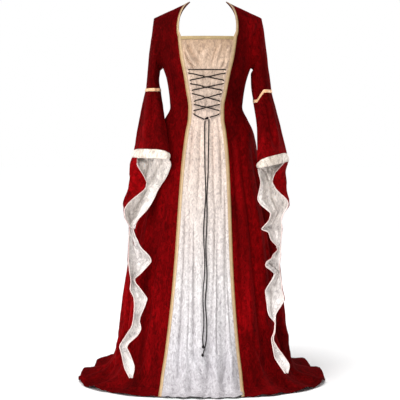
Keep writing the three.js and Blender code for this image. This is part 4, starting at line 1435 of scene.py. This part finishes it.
SLEEVE_SPACING = 5.6
SLEEVE_START = 2
COLUMN_STEP = 0.125
WRIST_DROP = 32.0
HANG_SLANT = 1.12
HANG_STRAIGHTEN = 0.5
PUCKER_HEIGHT = 1.3
PUCKER_WIDTH = 0.34
SLEEVE_RUMPLES = [(70, 0.8, 1.8), (30, 0.35, 1.5)]
ARMHOLE_FADE = 0.8
EDGE_RADIUS = 1.5
EDGE_STEP = 4.0
RIBBON_DOME = 0.5
LOWER_SLEEVE = ("lower_sleeve_front", "lower_sleeve_back", "hanging_sleeve")
SLEEVE_COLUMNS = np.arange(SLEEVE_START, SLEEVE_START + RING_COLUMNS + 1e-9, COLUMN_STEP)

# Creases of the sleeves, by column (8 is the inner side, 12 the back, 16 the outside)
SLEEVE_CREASES = {
    "right": [
        (2.5, 100, 3.2, 300, 8, -1.6, 4),
        (5, 120, 4.6, 310, 9, 1.5, -5),
        (6.8, 240, 5.6, 262, 7, -2.0, 3),
        (9.6, 250, 11.5, 268, 7, 2.0, -3),
        (11, 110, 12, 310, 9, -1.8, 6),
        (14, 110, 13.2, 300, 9, 1.6, -5),
        (7, 262, 4.5, 285, 7, 1.6, -4),
        (9, 280, 12, 300, 8, -1.6, 4),
        # upright folds of the bell
        (4.1, 340, 4.3, 572, 13, -11, -4),
        (3.0, 345, 2.8, 560, 11, 5, 4),
        (5.6, 345, 6.0, 570, 11, 5, -4),
        (6.9, 350, 7.3, 600, 10, -7, 3),
        (17.2, 350, 17.1, 590, 10, -7, 0),
        (10, 350, 9.6, 660, 12, -4.0, 4),
        (12, 345, 11.6, 760, 13, 4.0, 6),
        (14, 350, 14.4, 700, 12, -4.4, -5),
        (13, 420, 13.2, 640, 9, 2.4, 4),
        (11, 440, 10.8, 620, 9, -2.6, 4),
        # lining folds below the cuff
        (12.2, 590, 11.7, 800, 7, -13, 5),
        (10.6, 590, 10.9, 720, 8, 7.0, 6),
        (9.6, 596, 10.4, 690, 6, -9.0, -10),
        (11.2, 600, 11.2, 690, 6, -8.0, 8),
        (12.9, 604, 12.4, 720, 7, 7.0, -5),
        (13.4, 600, 15.0, 640, 6, -8.0, 12),
        (13.0, 640, 14.6, 672, 6, -7.0, 10),
        (14.6, 600, 13.8, 700, 8, 5.1, 5),
        (15.6, 690, 14.4, 800, 9, -9.0, 6),
        (14.8, 760, 13.2, 880, 8, 6.8, -6),
        (16.2, 720, 15.6, 830, 8, 6.0, 4),
        (10.4, 760, 11.4, 840, 8, -6.0, 4),
        (9.4, 900, 12.4, 990, 7, -6.0, 5),
        (9.2, 960, 13.0, 1020, 7, 6.0, -5),
        (14, 880, 13.6, 1040, 7, -6.8, 4),
        (11.5, 1050, 12.6, 1180, 8, 6.0, -5),
        (10.2, 1110, 13.2, 1170, 7, -5.4, 4),
        (12, 1230, 14.0, 1300, 7, 5.4, 4),
        (13, 1300, 11.5, 1400, 7, -5.1, 4),
        (11.6, 1360, 12.2, 1500, 6, 3.9, -3),
    ],
    "left": [
        (2.5, 100, 3.4, 320, 8, -1.8, 4),
        (5, 130, 4.4, 330, 9, 1.6, -5),
        (6.8, 246, 5.4, 272, 7, -2.0, 3),
        (9.6, 256, 11.5, 276, 7, 2.0, -3),
        (11, 120, 12, 330, 9, -1.8, 6),
        (14, 110, 13.2, 320, 9, 1.6, -5),
        (7.2, 290, 5, 318, 7, 2.0, -4),
        (7.4, 320, 5.4, 350, 7, -2.0, 4),
        # upright folds of the bell
        (3.7, 350, 3.5, 592, 13, -10, 4),
        (2.8, 350, 2.6, 580, 10, 5, 4),
        (5.1, 360, 5.3, 600, 10, 5, -4),
        (6.6, 380, 6.9, 600, 10, -8, 3),
        (4.6, 420, 4.9, 600, 8, -3.4, 3),
        (17.2, 380, 17.1, 600, 9, -6, 0),
        (10, 380, 9.7, 680, 12, -4.2, 4),
        (12, 370, 11.7, 780, 13, 4.0, 6),
        (14, 360, 14.4, 720, 12, -4.6, -5),
        (13, 430, 13.2, 660, 9, 2.6, 4),
        # lining folds below the cuff
        (9.0, 650, 10.9, 720, 7, 8.2, -6),
        (12.6, 650, 11.0, 716, 7, -7.5, 5),
        (11.3, 712, 11.5, 960, 7, -6.5, 3),
        (10.2, 720, 10.5, 900, 9, 3.6, 3),
        (12.4, 720, 12.6, 940, 9, 4.0, -4),
        (9.2, 730, 9.6, 860, 8, -4.5, 5),
        (13.8, 740, 14.6, 880, 8, 5.0, -6),
        (15.2, 720, 16.0, 820, 8, -5.0, 4),
        (9.2, 900, 12.4, 950, 8, -4.5, 5),
        (10.0, 1040, 13.4, 1100, 8, 4.4, -5),
        (12.5, 1010, 12.9, 1120, 9, -3.4, 3),
        (9.0, 1110, 12.0, 1150, 7, -5.4, 4),
        (11.4, 1160, 11.7, 1330, 8, 6.0, 4),
        (13.0, 1180, 12.8, 1320, 8, -6.0, -4),
        (10, 1360, 13.8, 1440, 7, 6.0, 4),
        (12, 1340, 11.6, 1420, 7, -5.4, 3),
    ],
}
# Puckers where the band gathers the sleeve: column and strength
PUCKERS = [(1.2, 0.8), (2.0, -1), (2.9, 1.1), (3.9, -0.8), (4.7, 0.9), (5.6, -1.1), (6.5, 1),
           (7.4, -0.8), (8.5, 0.9), (9.7, -1), (10.8, 0.9), (11.9, -1), (13, 1), (14.1, -0.9),
           (15.2, 1), (16.3, -0.7)]


def sleeve_cloth(name, side):
    """The whole sleeve as one cloth: armhole, rings, and the part that hangs."""
    column = SLEEVE_COLUMNS
    rings, hanging = SLEEVES[name], DRAPES[name]
    knots = [armhole_points(side, column)]
    for i in range(len(rings["high"])):
        ring = {key: values[i] for key, values in rings.items()}
        knots.append(ring_points(side, ring, column))
    knots = np.array(knots)
    ways = np.linalg.norm(np.diff(knots, axis=0), axis=2).max(axis=1)
    counts = np.maximum(np.ceil(ways / SLEEVE_SPACING).astype(int), 2)
    rows = split_steps(counts)
    tube_part = flow(knots, rows)
    number = range(len(hanging["z"]))
    below = np.array([knots[-1]] + [drape_points(side, hanging, i, column) for i in number])
    drop = np.abs(np.diff(below[:, len(column) // 2, 2]))
    start = (knots[-1] - knots[-2]) * (drop[0] / WRIST_DROP)
    hang_rows = split_steps(np.ceil(drop * HANG_SLANT / SLEEVE_SPACING).astype(int))[1:]
    hang_part = flow(below, hang_rows, start)
    row = np.minimum(hang_rows.astype(int), len(drop) - 1)
    straight = mix(below[row], below[row + 1], (hang_rows - row)[:, None, None])
    hang_part[..., 0] = mix(hang_part[..., 0], straight[..., 0], HANG_STRAIGHTEN)
    points = np.concatenate([tube_part, hang_part])
    rows = np.concatenate([rows, WRIST_ROW + hang_rows])
    present = np.ones(points.shape[:2], bool)
    present[len(tube_part):, column < DRAPE_FIRST - 1e-6] = False
    if side > 0:
        points, present, column = points[:, ::-1], present[:, ::-1], column[::-1]
    return Cloth(points, present, joined=True), rows, column


def crease_sleeve(cloth, rows, column, name, seed):
    """Creases, puckers at the band, and soft unevenness, all fading at the armhole."""
    height = creases(column, cloth, SLEEVE_CREASES[name])
    for at, strength in PUCKERS:
        away = (column - at + ARMPIT_ROW) % RING_COLUMNS - ARMPIT_ROW
        near = np.exp(-((away / PUCKER_WIDTH) ** 2))[None, :]
        above = np.exp(-(np.maximum(BAND_TOP - rows, 0) / 0.5))
        beneath = np.exp(-(np.maximum(rows - BAND_FOOT, 0) / 0.55))
        fade = np.where(rows < BAND_SEAM, above, beneath)[:, None]
        height += PUCKER_HEIGHT * strength * near * fade
    for i, (size, high, stretch) in enumerate(SLEEVE_RUMPLES):
        height += rumple(cloth.points, size, high, seed + i, stretch)
    height *= smoothstep(rows / ARMHOLE_FADE)[:, None]
    cloth.push(height)


def free_edge_path(cloth, rows):
    """The edge of the hanging part: down one side, round the tip and up the other."""
    below = np.flatnonzero(rows >= WRIST_ROW - 1e-6)
    columns = np.flatnonzero(cloth.present[-1])
    first = cloth.points[below, columns[0]]
    last = cloth.points[below[::-1], columns[-1]]
    return np.concatenate([first, cloth.points[-1, columns[1:-1]], last])


def add_sleeve(name, side, seed):
    cloth, rows, column = sleeve_cloth(name, side)
    crease_sleeve(cloth, rows, column, name, seed)
    seam = nearest(rows, BAND_SEAM)
    upper = cloth.part(slice(0, seam + 1), joined=True)
    sew(f"upper_sleeve_cloth_{name}", upper, OUTSIDE, [f"upper_sleeve_{name}"], ["red"],
        "hung", [f"side_front_cloth_{name}"])
    lower = cloth.part(slice(seam, None), joined=True)
    nodes = [f"{part}_{name}" for part in LOWER_SLEEVE]
    sew(f"lower_sleeve_cloth_{name}", lower, OUTSIDE, nodes, ["red"],
        "hung", [f"upper_sleeve_cloth_{name}"])
    path, _ = spaced_path(free_edge_path(cloth, rows)[::3], EDGE_STEP)
    rolled = tube_object(f"sleeve_edge_{name}", [tube(path, EDGE_RADIUS, 8)])
    dress(rolled, [], "edge")
    lining = cloth.part(slice(nearest(rows, CUFF_ROW), None), joined=True)
    wall = (-LAY_GAP - LINING, -LAY_GAP)
    sew(f"sleeve_lining_cloth_{name}", lining, wall, [f"sleeve_lining_{name}"], ["lining"],
        "hung", [f"lower_sleeve_cloth_{name}"], [rolled])
    top, foot = nearest(rows, BAND_TOP), nearest(rows, BAND_FOOT)
    band = cloth.part(slice(top, foot + 1), joined=True)
    t = np.linspace(-1, 1, foot + 1 - top)[:, None]
    wall = (BRAID_NEAR, BRAID_NEAR + BRAID + RIBBON_DOME * (1 - t**2))
    sew(f"sleeve_ribbon_{name}", band, wall, [f"sleeve_band_{name}"], ["ribbon"],
        "stretched", [f"upper_sleeve_cloth_{name}"])
    add_cuff(cloth, rows, column, name, side)


CUFF_FIRST = -1
CUFF_LAST = ARMPIT_ROW + 1
CUFF_TURN = 8.5
CUFF_ARCH = 4.4
CUFF_RISE = 2.8
CUFF_STEPS = 15
CUFF_INSIDE = 0.08
CUFF_OUTSIDE = 0.25
CUFF_ROUND = 0.16
CUFF_BULGE = 2.2
CUFF_TAPER = 1.4
CUFF_SLANT = 0.8
CUFF_FLARE = 0.6
# Waves along the cuff: height, how fast they follow each other, and where they start
CUFF_WAVES = [(0.9, 2.1, 0.7), (0.7, 4.7, 0)]


def add_cuff(cloth, rows, column, name, side):
    """The lining's edge turned back over the front of the wrist, as a soft roll."""
    top, wrist = nearest(rows, CUFF_ROW), nearest(rows, WRIST_ROW)
    order = np.argsort(column)
    ring = cloth.points[:, order][:, :-1]
    out = cloth.out[:, order][:, :-1]
    count = ring.shape[1]
    wanted = np.arange(CUFF_FIRST, CUFF_LAST + 1e-9, COLUMN_STEP)
    index = np.round((wanted - SLEEVE_START) / COLUMN_STEP).astype(int) % count
    if side > 0:
        index = index[::-1]
        wanted = wanted[::-1]
    share = np.linspace(0, 1, CUFF_STEPS)[:, None]
    near_inside = np.clip((CUFF_TURN - wanted) / CUFF_ARCH, 0, 1)
    near_outside = np.clip((wanted - CUFF_FIRST - 0.4) / CUFF_RISE, 0, 1)
    arch = mix(CUFF_INSIDE, 1, np.sqrt(1 - (1 - near_inside) ** 2))
    arch *= mix(CUFF_OUTSIDE, 1, np.sqrt(1 - (1 - near_outside) ** 2))
    source = mix(wrist, top, share * arch[None, :])
    low = np.floor(source).astype(int)
    high = np.minimum(low + 1, wrist)
    part = (source - low)[..., None]
    points = mix(ring[low, index[None, :]], ring[high, index[None, :]], part)
    ways = mix(out[low, index[None, :]], out[high, index[None, :]], part)
    round_up = np.sqrt(np.clip(share / CUFF_ROUND, 0, 1))
    ends = [smoothstep(away / CUFF_TAPER) for away in (wanted - CUFF_FIRST, CUFF_LAST - wanted)]
    bulge = CUFF_BULGE * np.sin(math.pi * share) * (ends[0] * ends[1])[None, :]
    slant = wanted[None, :] + CUFF_SLANT * share
    wave = sum(high * np.sin(slant * pace + start) for high, pace, start in CUFF_WAVES) * share
    height = round_up * BRAID_NEAR + bulge + wave + CUFF_FLARE * share
    cuff = Cloth((points + ways * height[..., None])[::-1])
    sew(f"cuff_cloth_{name}", cuff, (0, LINING), [f"cuff_{name}"], ["cuff"],
        "folded", [f"lower_sleeve_cloth_{name}"])


add_sleeve("right", -1, 61)
add_sleeve("left", 1, 71)


# Loops that hold the lacing
LOOP_WALL = 0.8
LOOP_LEAST = 5
LOOP_SAG = 0.25


def loop_reach(x, z, side):
    """Distance along the cloth from a loop's middle to the near edge of the braid."""
    seam_x = side * np.interp(-z, -RING_FRONT[NECK_ROW:], GOWN["seam"][NECK_ROW:])
    return abs(seam_x + HEM_LEAN * z / FLOOR_DROP - x) - BRAID_HALF


def add_loop(label, x, z, side):
    """A small strip of folded cloth, from the braid in over the cord and back down."""
    at, across, out = front_place(x, z)
    up = np.cross(out, across)
    inside = CORD_RADIUS + 1
    rise = 2 * CORD_RADIUS + 1.6
    reach = max(loop_reach(x, z, side) - 3 * LAY_GAP, LOOP_LEAST)
    outline = np.array([
        (-reach, 0.4, 0),
        (-reach * 0.7, 0.5, 0),
        (-inside - 1.6, 0.7, 0),
        (-inside - 0.4, rise * 0.45, 0),
        (-inside * 0.5, rise * 0.93, 0),
        (0.2, rise + 0.35, 0),
        (inside * 0.6, rise * 0.85, 0),
        (inside + 0.5, rise * 0.4, 0),
        (inside + 1.4, 0.6, 0),
        (inside + 3.4, 0.4, 0),
    ])
    line = catmull_line(outline, 5)[None]
    inward, above = line[..., :1], line[..., 1:2]
    w = np.linspace(-1, 1, 9)[:, None, None]
    height = VELVET + LAY_GAP + above - LOOP_SAG * w * w
    grid = at - side * inward * across + out * height - up * (w * LOOP_HEIGHT / 2)
    loop = shell(f"loop_{label}", Cloth(grid if side < 0 else grid[:, ::-1]), 0, LOOP_WALL)
    dress(loop, [f"lacing_loop_{label}"], "loop")


for number, z in enumerate(LACING["z"], 1):
    for side, name in ((1, "left"), (-1, "right")):
        add_loop(f"{name}_{number}", LACING[name][number - 1], z, side)

add_stage()
